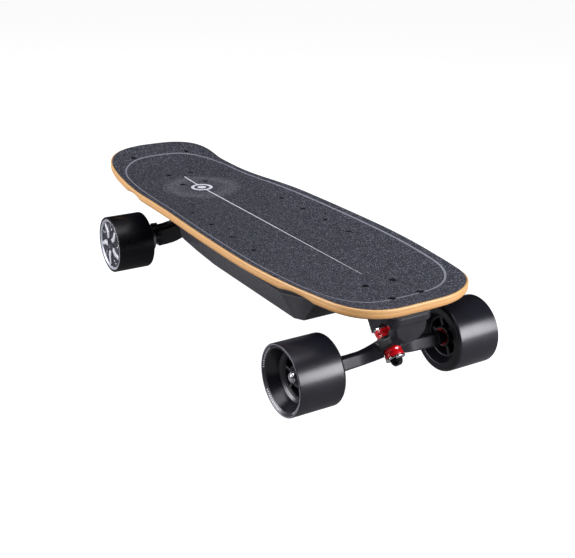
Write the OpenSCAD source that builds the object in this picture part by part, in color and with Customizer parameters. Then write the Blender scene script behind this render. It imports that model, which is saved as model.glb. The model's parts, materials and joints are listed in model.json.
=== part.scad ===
// Electric skateboard: a kick-tail deck on two steering trucks, free wheels in front, hub motors behind.
// +X is the nose, +Y the rider's left, +Z up; the ground is z = 0 and x = 0 halfway along the board.
// Lengths written with "u" are measured forward from the midpoint between the two truck bolt patterns.

/* [Deck] */
// Distance from the midpoint between the trucks to the nose tip
nose_u = 341.3; // [335:0.1:350]
// Distance from the midpoint between the trucks to the tail end
tail_u = 418; // [410:1:425]
// Widest width of the deck
deck_w = 239.7; // [230:0.1:242]
// Thickness of the ply
deck_t = 12; // [10:0.5:13]
// Height of the standing surface above the ground in the middle
stand_z = 131.9; // [131:0.1:134]
// Rise of the rails above the centre in the middle of the board
concave_h = 11.3; // [8:0.1:12]
// Thickness of the grip tape
grip_t = 1; // [0.6:0.1:1.2]
// Bare wood left around the grip tape
grip_inset = 2.2; // [1:0.1:4]

/* [Trucks] */
// Half the distance between the two bolt patterns
truck_u = 281; // [275:1:285]
// Length of a bolt pattern, the common small size
bolt_pitch_x = 53.9; // [53.5:0.1:54.5]
// Width of a bolt pattern
bolt_pitch_y = 41.3; // [41:0.1:41.6]
// Height of the hanger ring's centre
ring_z = 62; // [60:0.5:64]
// How far each axle sits inboard of its bolt pattern
axle_back = 10.6; // [9:0.1:12]
// Height of the plate's underside
plate_z = 106; // [105:0.5:107]
// Thickness of the baseplate
plate_t = 9; // [7:0.5:10]

/* [Wheels] */
// Radius of all four wheels
wheel_r = 45; // [42:0.5:46]
// Where the front wheels start, from the centre plane
front_in = 84.7; // [84:0.1:86]
// Where the front wheels end
front_out = 149; // [146:0.5:150]
// Where the motor sleeves start
rear_in = 85.5; // [85:0.1:86]
// Where the motor sleeves end
rear_out = 145.7; // [144:0.1:147]
// Number of spokes in a front core
spokes = 6; // [5:1:8]
// Number of blades on a motor cover
blades = 5; // [3:1:7]
// Number of magnets in a rotor
magnets = 14; // [10:2:16]
// Number of stator teeth
teeth = 12; // [9:3:12]

/* [Enclosure] */
// Height of its flat belly
belly_z = 72; // [70:0.5:76]
// Half width of its belly
belly_y = 73; // [71:0.5:74]
// Half width at its rim
rim_y = 84; // [83.5:0.1:85]
// Wall thickness
wall_t = 3; // [2:0.5:3]
// Cells along the pack
cell_columns = 9; // [6:1:9]
// Diameter of a cell with its sleeve
cell_d = 18.4; // [18:0.1:18.5]
// Length of a cell
cell_len = 65; // [64:0.5:66]

/* [Hidden] */
$fn = 64;
slack = 0.05;                 // radial clearance of a running or located fit
eps = 0.1;                    // cutters run this far past a face
mid_x = (tail_u - nose_u) / 2;

// --- deck surface -------------------------------------------------------------------------------
wide_u = 90;                  // where the deck is widest
nose_side_r = 962;            // plan radius of the sides ahead of it
tail_side_r = 4550;           // and behind it
nose_round = 60;              // length over which the nose rounds off
tail_round = 60;
nose_power = 3.3;               // squareness of the rounding
tail_power = 3;
rocker_u = 215;               // the centre starts to rise here, at both ends
rocker_r = 1500;
kick_u = 334;                 // the tail kicks up from here
kick_r = 180;
nose_kick_u = 247;            // and the nose, gently, from here
nose_kick_r = 1700;
rear_concave_h = 3.85;        // concave left at the rear truck
nose_concave_drop = 4.5;
flat_part = 0.35;             // share of the half width that is flat across
glue_t = 0.27;
well_depth = 4;               // wheel wells in the underside edges
well_len = 30;
well_reach = 24;
front_well_u = 236;
rear_well_u = -258;
stations = 36;
columns = 6;                  // on each side of the centre line

function sq(a) = a * a;
function past(a, b) = max(0, a - b);
function clamp01(a) = min(1, max(0, a));
function smooth(a) = a * a * (3 - 2 * a);
function step_between(a, b, u) = smooth(clamp01((u - a) / (b - a)));
function side_w(u) = deck_w / 2 - sq(u - wide_u) / 2 / (u > wide_u ? nose_side_r : tail_side_r);
function rounded(share, power) = pow(max(0, 1 - pow(clamp01(share), power)), 1 / power);
function half_w(u, inset) =
    (side_w(u) - inset)
    * rounded((u - nose_u + inset + nose_round) / nose_round, nose_power)
    * rounded((-u - tail_u + inset + tail_round) / tail_round, tail_power);
function centre_h(u) =
    stand_z + sq(past(abs(u), rocker_u)) / 2 / rocker_r
    + sq(past(-u, kick_u)) / 2 / kick_r + sq(past(u, nose_kick_u)) / 2 / nose_kick_r;
function centre_slope(u) =
    sign(u) * past(abs(u), rocker_u) / rocker_r - past(-u, kick_u) / kick_r + past(u, nose_kick_u) / nose_kick_r;
function concave(u) =
    rear_concave_h + (concave_h - rear_concave_h) * step_between(-300, -90, u)
    - nose_concave_drop * step_between(250, 350, u);
function across(u, y) = past(abs(y), flat_part * side_w(u)) / (1 - flat_part) / side_w(u);
function top_z(u, y) = centre_h(u) + concave(u) * sq(across(u, y));
function well(u, y) =
    well_depth
    * max(past(1, sq((u - front_well_u) / well_len)), past(1, sq((u - rear_well_u) / well_len)))
    * clamp01((abs(y) - half_w(u, 0) + well_reach) / well_reach);
function station(i, inset) =
    mid_u - (half_len - inset - 0.1) * cos(180 * i / stations);
half_len = (nose_u + tail_u) / 2;
mid_u = (nose_u - tail_u) / 2;
under = glue_t + grip_t + deck_t;         // from the standing surface to the deck's underside

// Closed sheet between two depths below the standing surface; wells are cut in its underside.
module sheet(depth_a, depth_b, inset, wells) {
    row = 2 * columns + 1;
    points = [
        for (side = [0, 1]) for (i = [0 : stations]) for (j = [-columns : columns])
            let (u = station(i, inset), y = half_w(u, inset) * j / columns)
            [u + mid_x, y, side == 0 ? top_z(u, y) - depth_a : top_z(u, y) - depth_b + wells * well(u, y)]
    ];
    base = (stations + 1) * row;
    faces = concat(
        [for (i = [0 : stations - 1]) for (j = [0 : row - 2]) for (k = [0, 1])
            let (a = i * row + j)
            k == 0 ? [a, a + 1, a + row] : [a + 1, a + row + 1, a + row]],
        [for (i = [0 : stations - 1]) for (j = [0 : row - 2]) for (k = [0, 1])
            let (a = base + i * row + j)
            k == 0 ? [a, a + row, a + 1] : [a + 1, a + row, a + row + 1]],
        [for (i = [0 : stations - 1]) for (k = [0, 1])
            let (a = i * row)
            k == 0 ? [a, a + row, a + base] : [a + row, a + row + base, a + base]],
        [for (i = [0 : stations - 1]) for (k = [0, 1])
            let (a = i * row + row - 1)
            k == 0 ? [a, a + base, a + row] : [a + row, a + base, a + row + base]],
        [for (j = [0 : row - 2]) for (k = [0, 1])
            k == 0 ? [j, j + base, j + 1] : [j + 1, j + base, j + 1 + base]],
        [for (j = [0 : row - 2]) for (k = [0, 1])
            let (a = stations * row + j)
            k == 0 ? [a, a + 1, a + base] : [a + 1, a + 1 + base, a + base]]
    );
    polyhedron(points, faces);
}

// --- fasteners through the deck -----------------------------------------------------------------
truck_bolt_r = 2.5;
truck_head_r = 4.6;
truck_head_h = 3;
truck_hole_r = 2.8;
screw_r = 2;
screw_head_r = 3.9;
screw_head_h = 2.4;
screw_hole_r = 2.3;
screw_y = 77;
screw_us = [-103, -42, 19, 80];
tail_screw_u = -387;
tail_screw_y = 50;
tail_tilt = atan(-centre_slope(tail_screw_u));
nut_h = 4;
nut_r = 4.6;

module at_truck_bolts() {
    for (end = [-1, 1])
        for (a = [-1, 1])
            for (b = [-1, 1]) {
                u = end * truck_u + a * bolt_pitch_x / 2;
                y = b * bolt_pitch_y / 2;
                translate([u + mid_x, y, top_z(u, y)])
                    children();
            }
}

module at_enclosure_screws() {
    for (u = screw_us)
        for (b = [-1, 1])
            translate([u + mid_x, b * screw_y, top_z(u, screw_y)])
                children();
}

module at_tail_screws() {
    for (b = [-1, 1])
        translate([tail_screw_u + mid_x, b * tail_screw_y, top_z(tail_screw_u, tail_screw_y)])
            rotate([0, tail_tilt, 0])
                children();
}

module bolt_hole(shank_r, head_r, head_h, down = 40) {
    translate([0, 0, -down])
        cylinder(r = shank_r, h = down + 5);
    translate([0, 0, -head_h - 0.3])
        cylinder(r = head_r + 0.2, h = head_h + 5);
}

module deck_holes() {
    at_truck_bolts()
        bolt_hole(truck_hole_r, truck_head_r, truck_head_h);
    at_enclosure_screws()
        bolt_hole(screw_hole_r, screw_head_r, screw_head_h);
    at_tail_screws()
        bolt_hole(screw_hole_r, screw_head_r, screw_head_h);
}

module deck() {
    color("burlywood")
        difference() {
            sheet(grip_t + glue_t, under, 0, 1);
            deck_holes();
        }
}

module grip_tape() {
    color("dimgray")
        difference() {
            sheet(0, grip_t, grip_inset, 0);
            deck_holes();
        }
}

// A flat-headed screw, its head's top at z = 0, with a hexagon or cross drive sunk in it.
module flat_screw(shank_r, head_r, head_h, len, drive_r) {
    difference() {
        union() {
            translate([0, 0, -head_h])
                cylinder(r = head_r, h = head_h - 0.3);
            translate([0, 0, -len])
                cylinder(r = shank_r, h = len - head_h + eps);
        }
        translate([0, 0, -head_h / 2 - 0.3])
            cylinder(r = drive_r, h = head_h, $fn = 6);
    }
}

module truck_bolts() {
    color("black")
        for (end = [-1, 1])
            for (a = [-1, 1])
                for (b = [-1, 1]) {
                    u = end * truck_u + a * bolt_pitch_x / 2;
                    y = b * bolt_pitch_y / 2;
                    z = top_z(u, y);
                    translate([u + mid_x, y, z])
                        flat_screw(truck_bolt_r, truck_head_r, truck_head_h, z - plate_z + nut_h + 2, 1.9);
                }
}

module truck_nuts() {
    color("black")
        for (end = [-1, 1])
            for (a = [-1, 1])
                for (b = [-1, 1])
                    translate([mid_x + end * truck_u + a * bolt_pitch_x / 2, b * bolt_pitch_y / 2, plate_z - nut_h])
                        difference() {
                            cylinder(r = nut_r, h = nut_h, $fn = 6);
                            translate([0, 0, -eps])
                                cylinder(r = truck_bolt_r + slack / 2, h = nut_h + 2 * eps);
                        }
}

module deck_screws() {
    color("black") {
        at_enclosure_screws()
            flat_screw(screw_r, screw_head_r, screw_head_h, 24, 1.5);
        at_tail_screws()
            flat_screw(screw_r, screw_head_r, screw_head_h, 16, 1.5);
    }
}

// --- tail pad -----------------------------------------------------------------------------------
pad_len = 30;
pad_half_w = 62;
pad_t = 4;

module tail_pad() {
    color("black")
        translate([tail_screw_u + mid_x, 0, centre_h(tail_screw_u)])
            rotate([0, tail_tilt, 0])
                difference() {
                    translate([0, 0, -under * cos(tail_tilt) - 0.15 - pad_t])
                        linear_extrude(pad_t)
                            union() {
                                square([pad_len, 2 * pad_half_w - pad_len], center = true);
                                for (b = [-1, 1])
                                    translate([0, b * (pad_half_w - pad_len / 2)])
                                        circle(d = pad_len);
                            }
                    for (b = [-1, 1])
                        translate([0, b * tail_screw_y, -30])
                            cylinder(r = screw_hole_r, h = 30);
                }
}

// --- truck frame --------------------------------------------------------------------------------
// Truck parts are drawn for the front: x outboard from the bolt pattern's centre, z from the ground.
module at_front() {
    translate([mid_x + truck_u, 0, 0])
        children();
}

module at_rear() {
    translate([mid_x - truck_u, 0, 0])
        mirror([1, 0, 0])
            children();
}

module at_both() {
    at_front()
        children();
    at_rear()
        children();
}

// Along the kingpin, towards its nut: down and outboard at 45 degrees.
module along_kingpin(s = 0) {
    translate([0, 0, ring_z])
        rotate([0, 135, 0])
            translate([0, 0, s])
                children();
}

// Along the steering axis, towards the pivot cup: up and outboard at 45 degrees.
module along_pivot(s = 0) {
    translate([0, 0, ring_z])
        rotate([0, 45, 0])
            translate([0, 0, s])
                children();
}

plate_len = 88;
plate_half_w = 31.5;
plate_corner = 14;
kingpin_r = 5;
kingpin_head_r = 8.2;
kingpin_head_s = -40;         // distances along the kingpin from the ring's centre
kingpin_end_s = 29;
bushing_from = 5;
bushing_to = 18.5;
bushing_r = 12;
washer_t = 2.4;
washer_r = 12.6;
nut_from = bushing_to + washer_t;
kingpin_nut_h = 6.6;
kingpin_nut_r = 8.3;
boss_half_w = 14;
boss_front = 41;
shield_from = 32.5;
boss_mouth = 25;              // distances along the steering axis from the ring's centre
cup_from = 26.5;
cup_to = 43;
cup_r = 10;
nose_r = 7;
nose_to = 41;

module plate_outline() {
    x = plate_len / 2 - plate_corner;
    y = plate_half_w - plate_corner;
    union() {
        square([plate_len, 2 * y], center = true);
        square([2 * x, 2 * plate_half_w], center = true);
        for (a = [-1, 1])
            for (b = [-1, 1])
                translate([a * x, b * y])
                    circle(r = plate_corner);
    }
}

module bolt_pattern_holes(r) {
    for (a = [-1, 1])
        for (b = [-1, 1])
            translate([a * bolt_pitch_x / 2, b * bolt_pitch_y / 2, plate_z - 5])
                cylinder(r = r, h = 30);
}

module baseplate() {
    color([0.16, 0.16, 0.18])
        difference() {
            union() {
                translate([0, 0, plate_z])
                    linear_extrude(plate_t)
                        plate_outline();
                // kingpin boss, narrower towards its end, which is square to the kingpin
                intersection() {
                    rotate([90, 0, 0])
                        linear_extrude(2 * boss_half_w, center = true)
                            polygon([
                                [-42, plate_z + 1], [-36, 92], [-30, 82], [-24.8, ring_z + 4.9],
                                [-4.9, ring_z + 24.8], [4, 96], [10, plate_z + 1]
                            ]);
                    rotate([90, 0, 90])
                        linear_extrude(100, center = true)
                            polygon([
                                [-8, ring_z], [8, ring_z], [boss_half_w, 98], [boss_half_w, plate_z + 2],
                                [-boss_half_w, plate_z + 2], [-boss_half_w, 98]
                            ]);
                }
                // shield across the outboard end, over the pivot boss
                translate([shield_from, 0, 0])
                    rotate([90, 0, 90])
                        linear_extrude(boss_front - shield_from)
                            polygon([
                                [-4, 80.7], [4, 80.7], [11, 83], [19.7, 91], [22, 99], [22, plate_z + 1],
                                [-22, plate_z + 1], [-22, 99], [-19.7, 91], [-11, 83]
                            ]);
                // pivot boss, around the steering axis
                intersection() {
                    along_pivot(boss_mouth)
                        cylinder(r = boss_half_w, h = 50);
                    translate([-50, -50, 0])
                        cube([50 + boss_front, 100, plate_z + 1]);
                }
            }
            along_kingpin(-70)
                cylinder(r = kingpin_r + slack, h = 60);
            along_kingpin(-70)
                cylinder(r = kingpin_head_r + 0.6, h = 70 + kingpin_head_s);
            along_pivot(boss_mouth - 1)
                cylinder(r = cup_r + slack / 2, h = cup_to - boss_mouth + 1);
            bolt_pattern_holes(truck_hole_r);
        }
}

module front_baseplate() {
    at_front()
        baseplate();
}

module rear_baseplate() {
    at_rear()
        baseplate();
}

// A wedge that takes up the slope of the deck's underside.
module riser_pad(u) {
    slope = abs(centre_slope(u));
    top = centre_h(u) - under - slack;
    color([0.12, 0.12, 0.13])
        difference() {
            intersection() {
                translate([0, 0, plate_z + plate_t])
                    linear_extrude(20)
                        plate_outline();
                rotate([90, 0, 0])
                    linear_extrude(100, center = true)
                        polygon([[-60, 0], [60, 0], [60, top + 60 * slope], [-60, top - 60 * slope]]);
            }
            bolt_pattern_holes(truck_hole_r);
        }
}

module riser_pads() {
    at_front()
        riser_pad(truck_u);
    at_rear()
        riser_pad(-truck_u);
}

module pivot_cups() {
    color([0.1, 0.1, 0.1])
        at_both()
            along_pivot(cup_from)
                difference() {
                    cylinder(r = cup_r, h = cup_to - cup_from);
                    translate([0, 0, -eps])
                        cylinder(r = nose_r + slack, h = nose_to - cup_from + 0.5 + eps);
                }
}

module kingpins() {
    color("silver")
        at_both()
            along_kingpin(kingpin_head_s - 6) {
                cylinder(r = kingpin_head_r, h = 6, $fn = 6);
                cylinder(r = kingpin_r, h = kingpin_end_s - kingpin_head_s + 6);
            }
}

module kingpin_nuts() {
    color("black")
        at_both()
            along_kingpin(nut_from)
                difference() {
                    cylinder(r = kingpin_nut_r, h = kingpin_nut_h, $fn = 6);
                    translate([0, 0, -eps])
                        cylinder(r = kingpin_r + slack / 2, h = kingpin_nut_h + 2 * eps);
                }
}

module bushing_washers() {
    color("gainsboro")
        at_both()
            for (s = [-bushing_to - washer_t, bushing_to])
                along_kingpin(s)
                    difference() {
                        cylinder(r = washer_r, h = washer_t);
                        translate([0, 0, -eps])
                            cylinder(r = kingpin_r + slack, h = washer_t + 2 * eps);
                    }
}

// A bushing with a waist, standing on the ring.
module bushing(side) {
    h = bushing_to - bushing_from;
    color([0.8, 0.05, 0.08])
        along_kingpin(side > 0 ? bushing_from : -bushing_to)
            rotate_extrude()
                polygon([
                    [kingpin_r + slack, 0], [bushing_r, 0], [bushing_r, h * 0.32], [bushing_r - 1.2, h / 2],
                    [bushing_r, h * 0.68], [bushing_r, h], [kingpin_r + slack, h]
                ]);
}

module front_boardside_bushing() {
    at_front()
        bushing(-1);
}

module front_roadside_bushing() {
    at_front()
        bushing(1);
}

module rear_boardside_bushing() {
    at_rear()
        bushing(-1);
}

module rear_roadside_bushing() {
    at_rear()
        bushing(1);
}

// --- hangers ------------------------------------------------------------------------------------
ring_r = 17;
ring_len = 15;
ring_hole_r = 7.6;
stem_r = 9;
arm_y = 62;
axle_z = wheel_r;

module mirrored_y() {
    children();
    mirror([0, 1, 0])
        children();
}

// Turns a shape drawn around Z to lie around +Y, on the axle line.
module on_axle_line(y = 0) {
    translate([-axle_back, y, axle_z])
        rotate([-90, 0, 0])
            children();
}

module hanger_body(end_y, end_r, arm_low, arm_high, mid_low) {
    bend_low = arm_low + 0.27 * (mid_low - arm_low);
    difference() {
        union() {
            along_kingpin(-ring_len / 2)
                cylinder(r = ring_r, h = ring_len);
            along_pivot(14.5)
                cylinder(r = stem_r, h = boss_mouth - 1 - 14.5);
            along_pivot(14.5)
                cylinder(r = nose_r, h = nose_to - 14.5);
            // two arms that sweep up and outboard to the pivot stem
            intersection() {
                rotate([90, 0, 90])
                    linear_extrude(60, center = true)
                        polygon([
                            [-arm_y, arm_low], [-34, bend_low], [-12, mid_low], [0, mid_low + 6],
                            [12, mid_low], [34, bend_low], [arm_y, arm_low],
                            [arm_y, arm_high], [34, arm_high + 2], [12, 66], [0, 73], [-12, 66],
                            [-34, arm_high + 2], [-arm_y, arm_high]
                        ]);
                linear_extrude(100)
                    polygon([
                        [-18, -arm_y - 1], [-5, -arm_y - 1], [-1, -34], [8, -12], [13, 0],
                        [8, 12], [-1, 34], [-5, arm_y + 1], [-18, arm_y + 1], [-16, 34], [-9, 12],
                        [-9, -12], [-16, -34]
                    ]);
            }
            mirrored_y()
                on_axle_line(arm_y - 3)
                    cylinder(r = end_r, h = end_y - arm_y + 3);
        }
        // seats that the two bushings stand in, and the hole for the kingpin
        for (s = [-bushing_from - 40, bushing_from])
            along_kingpin(s)
                cylinder(r = bushing_r + 1, h = 40);
        along_kingpin(-20)
            cylinder(r = ring_hole_r, h = 40);
        // room beside the washers when the truck is steered all the way
        for (turn = [-15, 15])
            for (s = [-bushing_to - 6, bushing_to - 1])
                along_kingpin()
                    rotate([turn, 0, 0])
                        translate([0, 0, s])
                            cylinder(r = washer_r + 0.9, h = 7);
    }
}

axle_r = 4;
boss_end = 92;
boss_r = 9.2;
motor_boss_end = 73;
motor_boss_r = 10.5;
flange_r = 20.5;
flange_t = 6;
shaft_r = 7.5;
shaft_from = 62;

module front_hanger() {
    color([0.16, 0.16, 0.18])
        at_front()
            difference() {
                hanger_body(boss_end, boss_r, 37, 53, 48);
                on_axle_line(-boss_end - 1)
                    cylinder(r = axle_r + slack / 2, h = 2 * boss_end + 2);
            }
}

module rear_hanger() {
    color([0.16, 0.16, 0.18])
        at_rear()
            difference() {
                hanger_body(motor_boss_end, motor_boss_r, 29, 56, 34);
                mirrored_y()
                    on_axle_line(shaft_from)
                        cylinder(r = shaft_r + slack / 2, h = 40);
            }
}

// --- front axle and its small parts -------------------------------------------------------------
bearing_r = 11;
bearing_w = 7;
race_r = 5.5;
seal_r = 5.6;
outer_race_r = 8.6;
inner_bearing_y = boss_end + 1;
outer_bearing_y = 121;
axle_nut_y = outer_bearing_y + bearing_w + 1;
axle_nut_h = 6;
axle_nut_r = 7.3;
axle_end = axle_nut_y + axle_nut_h + 1;

module tube(r_out, r_in, h) {
    difference() {
        cylinder(r = r_out, h = h);
        translate([0, 0, -eps])
            cylinder(r = r_in, h = h + 2 * eps);
    }
}

module front_axle() {
    color("silver")
        at_front()
            on_axle_line(-axle_end)
                cylinder(r = axle_r, h = 2 * axle_end);
}

module front_axle_nuts() {
    color("silver")
        at_front()
            mirrored_y()
                on_axle_line(axle_nut_y)
                    difference() {
                        cylinder(r = axle_nut_r, h = axle_nut_h, $fn = 6);
                        translate([0, 0, -eps])
                            cylinder(r = axle_r + slack / 2, h = axle_nut_h + 2 * eps);
                    }
}

module front_speed_rings() {
    color("silver")
        at_front()
            mirrored_y()
                for (y = [boss_end, axle_nut_y - 1])
                    on_axle_line(y + 0.02)
                        tube(5.4, axle_r + slack / 2, 0.96);
}

module front_spacers() {
    color("silver")
        at_front()
            mirrored_y()
                on_axle_line(inner_bearing_y + bearing_w)
                    tube(5.4, axle_r + slack / 2, outer_bearing_y - inner_bearing_y - bearing_w);
}

module front_inner_races() {
    color("silver")
        at_front()
            mirrored_y()
                for (y = [inner_bearing_y, outer_bearing_y])
                    on_axle_line(y)
                        tube(race_r, axle_r + slack / 2, bearing_w);
}

// Outer race with its two seals, drawn around Z from z = 0.
module sealed_race(r_out, r_mid, r_in, w) {
    rotate_extrude()
        polygon([
            [r_out, 0], [r_out, w], [r_mid, w], [r_mid, w - 0.4], [r_in, w - 0.4],
            [r_in, 0.4], [r_mid, 0.4], [r_mid, 0]
        ]);
}

// --- front wheels -------------------------------------------------------------------------------
core_r = 27;
core_from = 95;
core_to = 129;
core_hub_r = 14;
core_rim_t = 2.5;
spoke_t = 5;
spoke_turn = 5;
lip_r = 38.5;
edge_bevel = 1.2;
inner_round = 6;

function quarter(cx, cy, r, from, to, n) =
    [for (i = [0 : n]) let (a = from + (to - from) * i / n) [cx + r * cos(a), cy + r * sin(a)]];

module wheel_side(right) {
    mirror([0, right, 0])
        children();
}

module tyre() {
    color([0.17, 0.17, 0.19])
        on_axle_line()
            rotate_extrude()
                polygon(concat(
                    [[core_r, core_from], [31, front_in + 3.5], [34, front_in]],
                    quarter(wheel_r - inner_round, front_in + inner_round, inner_round, -90, 0, 6),
                    [
                        [wheel_r, front_out - edge_bevel], [wheel_r - edge_bevel, front_out],
                        [lip_r, front_out], [lip_r - 2, front_out - 3], [30.5, core_to + 3], [core_r, core_to]
                    ]
                ));
}

module wheel_core() {
    color([0.08, 0.08, 0.09])
        on_axle_line()
            difference() {
                union() {
                    translate([0, 0, core_from + 0.5])
                        tube(core_r - 0.02, core_r - core_rim_t, core_to - core_from - 1);
                    translate([0, 0, inner_bearing_y])
                        cylinder(r = core_hub_r, h = outer_bearing_y + bearing_w - inner_bearing_y);
                    for (i = [0 : spokes - 1])
                        rotate([0, 0, spoke_turn + i * 360 / spokes])
                            translate([core_hub_r - 2, -spoke_t / 2, 98])
                                cube([core_r - core_rim_t - core_hub_r + 3, spoke_t, 29]);
                }
                translate([0, 0, inner_bearing_y - eps])
                    cylinder(r = bearing_r + slack / 2, h = bearing_w + eps);
                translate([0, 0, outer_bearing_y])
                    cylinder(r = bearing_r + slack / 2, h = bearing_w + eps);
                translate([0, 0, inner_bearing_y])
                    cylinder(r = bearing_r - 1.4, h = outer_bearing_y - inner_bearing_y + 1);
            }
}

module wheel_bearings() {
    color([0.6, 0.06, 0.08])
        for (y = [inner_bearing_y, outer_bearing_y])
            on_axle_line(y)
                sealed_race(bearing_r, outer_race_r, seal_r, bearing_w);
}

module front_left_tyre() {
    at_front()
        tyre();
}

module front_left_core() {
    at_front()
        wheel_core();
}

module front_left_bearings() {
    at_front()
        wheel_bearings();
}

module front_right_tyre() {
    at_front()
        wheel_side(1)
            tyre();
}

module front_right_core() {
    at_front()
        wheel_side(1)
            wheel_core();
}

module front_right_bearings() {
    at_front()
        wheel_side(1)
            wheel_bearings();
}

// --- hub motors ---------------------------------------------------------------------------------
shaft_end = 139;
can_r = 34.5;
can_wall_r = 31.2;
can_from = 87;
can_to = 139;
motor_bearing_r = 12;
motor_race_r = 8.6;
motor_seal_r = 8.7;
motor_bearing_w = 5;
motor_bearing_in = 88;
motor_bearing_out = 133;
stator_from = 96;
stator_to = 126;
stator_r = 28;
magnet_r = 28.8;
coil_t = 1;
tooth_w = 5.4;
cover_r = 41;
cover_rim = 3;
cover_t = 3.5;
screw_ring_r = 32.8;
cover_screw_r = 1.25;
blade_turn = 11.6;
sleeve_round = 9;             // rounding of a sleeve's inboard edge

module motor_shafts() {
    color("silver")
        at_rear()
            mirrored_y()
                on_axle_line(shaft_from)
                    union() {
                        cylinder(r = shaft_r, h = shaft_end - shaft_from);
                        translate([0, 0, motor_boss_end + slack - shaft_from])
                            cylinder(r = flange_r, h = flange_t);
                        translate([0, 0, motor_boss_end + flange_t - shaft_from])
                            cylinder(r = shaft_r + 3, h = 7);
                    }
}

module stator_outline() {
    difference() {
        union() {
            circle(r = 13.5);
            for (i = [0 : teeth - 1])
                rotate(i * 360 / teeth)
                    translate([0, -tooth_w / 2])
                        square([stator_r - 1, tooth_w]);
            difference() {
                circle(r = stator_r);
                circle(r = stator_r - 3);
                for (i = [0 : teeth - 1])
                    rotate((i + 0.5) * 360 / teeth)
                        translate([0, -1])
                            square([40, 2]);
            }
        }
        circle(r = shaft_r + slack / 2);
    }
}

module motor_stators() {
    color("slategray")
        at_rear()
            mirrored_y()
                on_axle_line(stator_from)
                    linear_extrude(stator_to - stator_from)
                        stator_outline();
}

module motor_windings() {
    gap = 0.05;
    inside = tooth_w + 2 * gap;
    len = stator_to - stator_from + 2 * gap;
    color([0.72, 0.35, 0.12])
        at_rear()
            mirrored_y()
                on_axle_line((stator_from + stator_to) / 2)
                    for (i = [0 : teeth - 1])
                        rotate([0, 0, i * 360 / teeth])
                            translate([19.9, 0, 0])
                                difference() {
                                    cube([9, inside + 2 * coil_t, len + 2.4], center = true);
                                    cube([10, inside, len], center = true);
                                }
}

module motor_inner_races() {
    color("silver")
        at_rear()
            mirrored_y()
                for (y = [motor_bearing_in, motor_bearing_out])
                    on_axle_line(y)
                        tube(motor_race_r, shaft_r + slack / 2, motor_bearing_w);
}

module motor_bearing_pair() {
    color("darkslategray")
        at_rear()
            for (y = [motor_bearing_in, motor_bearing_out])
                on_axle_line(y)
                    sealed_race(motor_bearing_r, 10.2, motor_seal_r, motor_bearing_w);
}

module can() {
    color([0.5, 0.5, 0.53])
        at_rear()
            on_axle_line()
                difference() {
                    translate([0, 0, can_from])
                        cylinder(r = can_r, h = can_to - can_from);
                    translate([0, 0, can_from + 3])
                        difference() {
                            cylinder(r = can_wall_r, h = can_to);
                            cylinder(r = motor_bearing_r + 3, h = 3.5);
                        }
                    translate([0, 0, motor_bearing_in])
                        cylinder(r = motor_bearing_r + slack / 2, h = 6);
                    translate([0, 0, can_from - 1])
                        cylinder(r = motor_bearing_r - 1.5, h = 10);
                    at_cover_screws(can_to - 9)
                        cylinder(r = cover_screw_r + slack / 2, h = 10);
                }
}

module at_cover_screws(z) {
    for (i = [0 : blades - 1])
        rotate([0, 0, blade_turn + (i + 0.5) * 360 / blades])
            translate([screw_ring_r, 0, z])
                children();
}

module magnet_ring() {
    pitch = 360 / magnets;
    color("silver")
        at_rear()
            on_axle_line(stator_from + 1)
                for (i = [0 : magnets - 1])
                    rotate([0, 0, i * pitch])
                        rotate_extrude(angle = pitch - 4)
                            translate([magnet_r, 0])
                                square([can_wall_r - slack / 2 - magnet_r, stator_to - stator_from - 2]);
}

module sleeve() {
    color([0.05, 0.05, 0.06])
        at_rear()
            on_axle_line()
                rotate_extrude()
                    polygon(concat(
                        [[can_r + slack / 2, rear_in + 1.5]],
                        quarter(wheel_r - sleeve_round, rear_in + sleeve_round, sleeve_round, -90, 0, 6),
                        [
                            [wheel_r, rear_out - edge_bevel], [wheel_r - edge_bevel, rear_out],
                            [cover_r + 0.7, rear_out], [cover_r + slack, rear_out - 0.7],
                            [cover_r + slack, can_to], [can_r + slack / 2, can_to]
                        ]
                    ));
}

blade_tip_r = 36.5;

// One slanted blade of the cover's turbine pattern.
module blade() {
    polygon([[9, -3.2], [20, -6.5], [blade_tip_r, -1], [blade_tip_r - 3.5, 3.2], [21, 0.5], [9, 3.2]]);
}

module cover() {
    top = rear_out - 0.3;
    color("gray")
        at_rear()
            on_axle_line()
                difference() {
                    union() {
                        translate([0, 0, can_to + slack / 2])
                            cylinder(r = cover_r, h = cover_t);
                        translate([0, 0, can_to + 1])
                            tube(cover_r, cover_r - cover_rim, top - can_to - 1);
                        translate([0, 0, motor_bearing_out - 1])
                            cylinder(r = motor_bearing_r + 3, h = can_to - motor_bearing_out + 2);
                        translate([0, 0, can_to + 1])
                            cylinder(r = 11, h = top - can_to - 1.4);
                        for (i = [0 : blades - 1])
                            rotate([0, 0, blade_turn + i * 360 / blades])
                                translate([0, 0, can_to + 1])
                                    linear_extrude(top - can_to - 1.4)
                                        blade();
                    }
                    translate([0, 0, motor_bearing_out - 2])
                        cylinder(r = motor_bearing_r + slack / 2, h = motor_bearing_w + 2);
                    translate([0, 0, motor_bearing_out])
                        cylinder(r = shaft_r + 2, h = shaft_end + 0.5 - motor_bearing_out);
                    at_cover_screws(can_to - 1)
                        cylinder(r = cover_screw_r + 0.1, h = 10);
                }
}

module cover_screws() {
    color("silver")
        at_rear()
            on_axle_line()
                at_cover_screws(0)
                    union() {
                        translate([0, 0, can_to - 8])
                            cylinder(r = cover_screw_r, h = 8 + cover_t);
                        translate([0, 0, can_to + cover_t + slack])
                            cylinder(r = 2.3, h = 1.2);
                    }
}

module rear_left_can() {
    can();
}

module rear_left_magnets() {
    magnet_ring();
}

module rear_left_sleeve() {
    sleeve();
}

module rear_left_cover() {
    cover();
}

module rear_left_screws() {
    cover_screws();
}

module rear_left_bearings() {
    motor_bearing_pair();
}

module rear_right_can() {
    wheel_side(1)
        can();
}

module rear_right_magnets() {
    wheel_side(1)
        magnet_ring();
}

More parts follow.
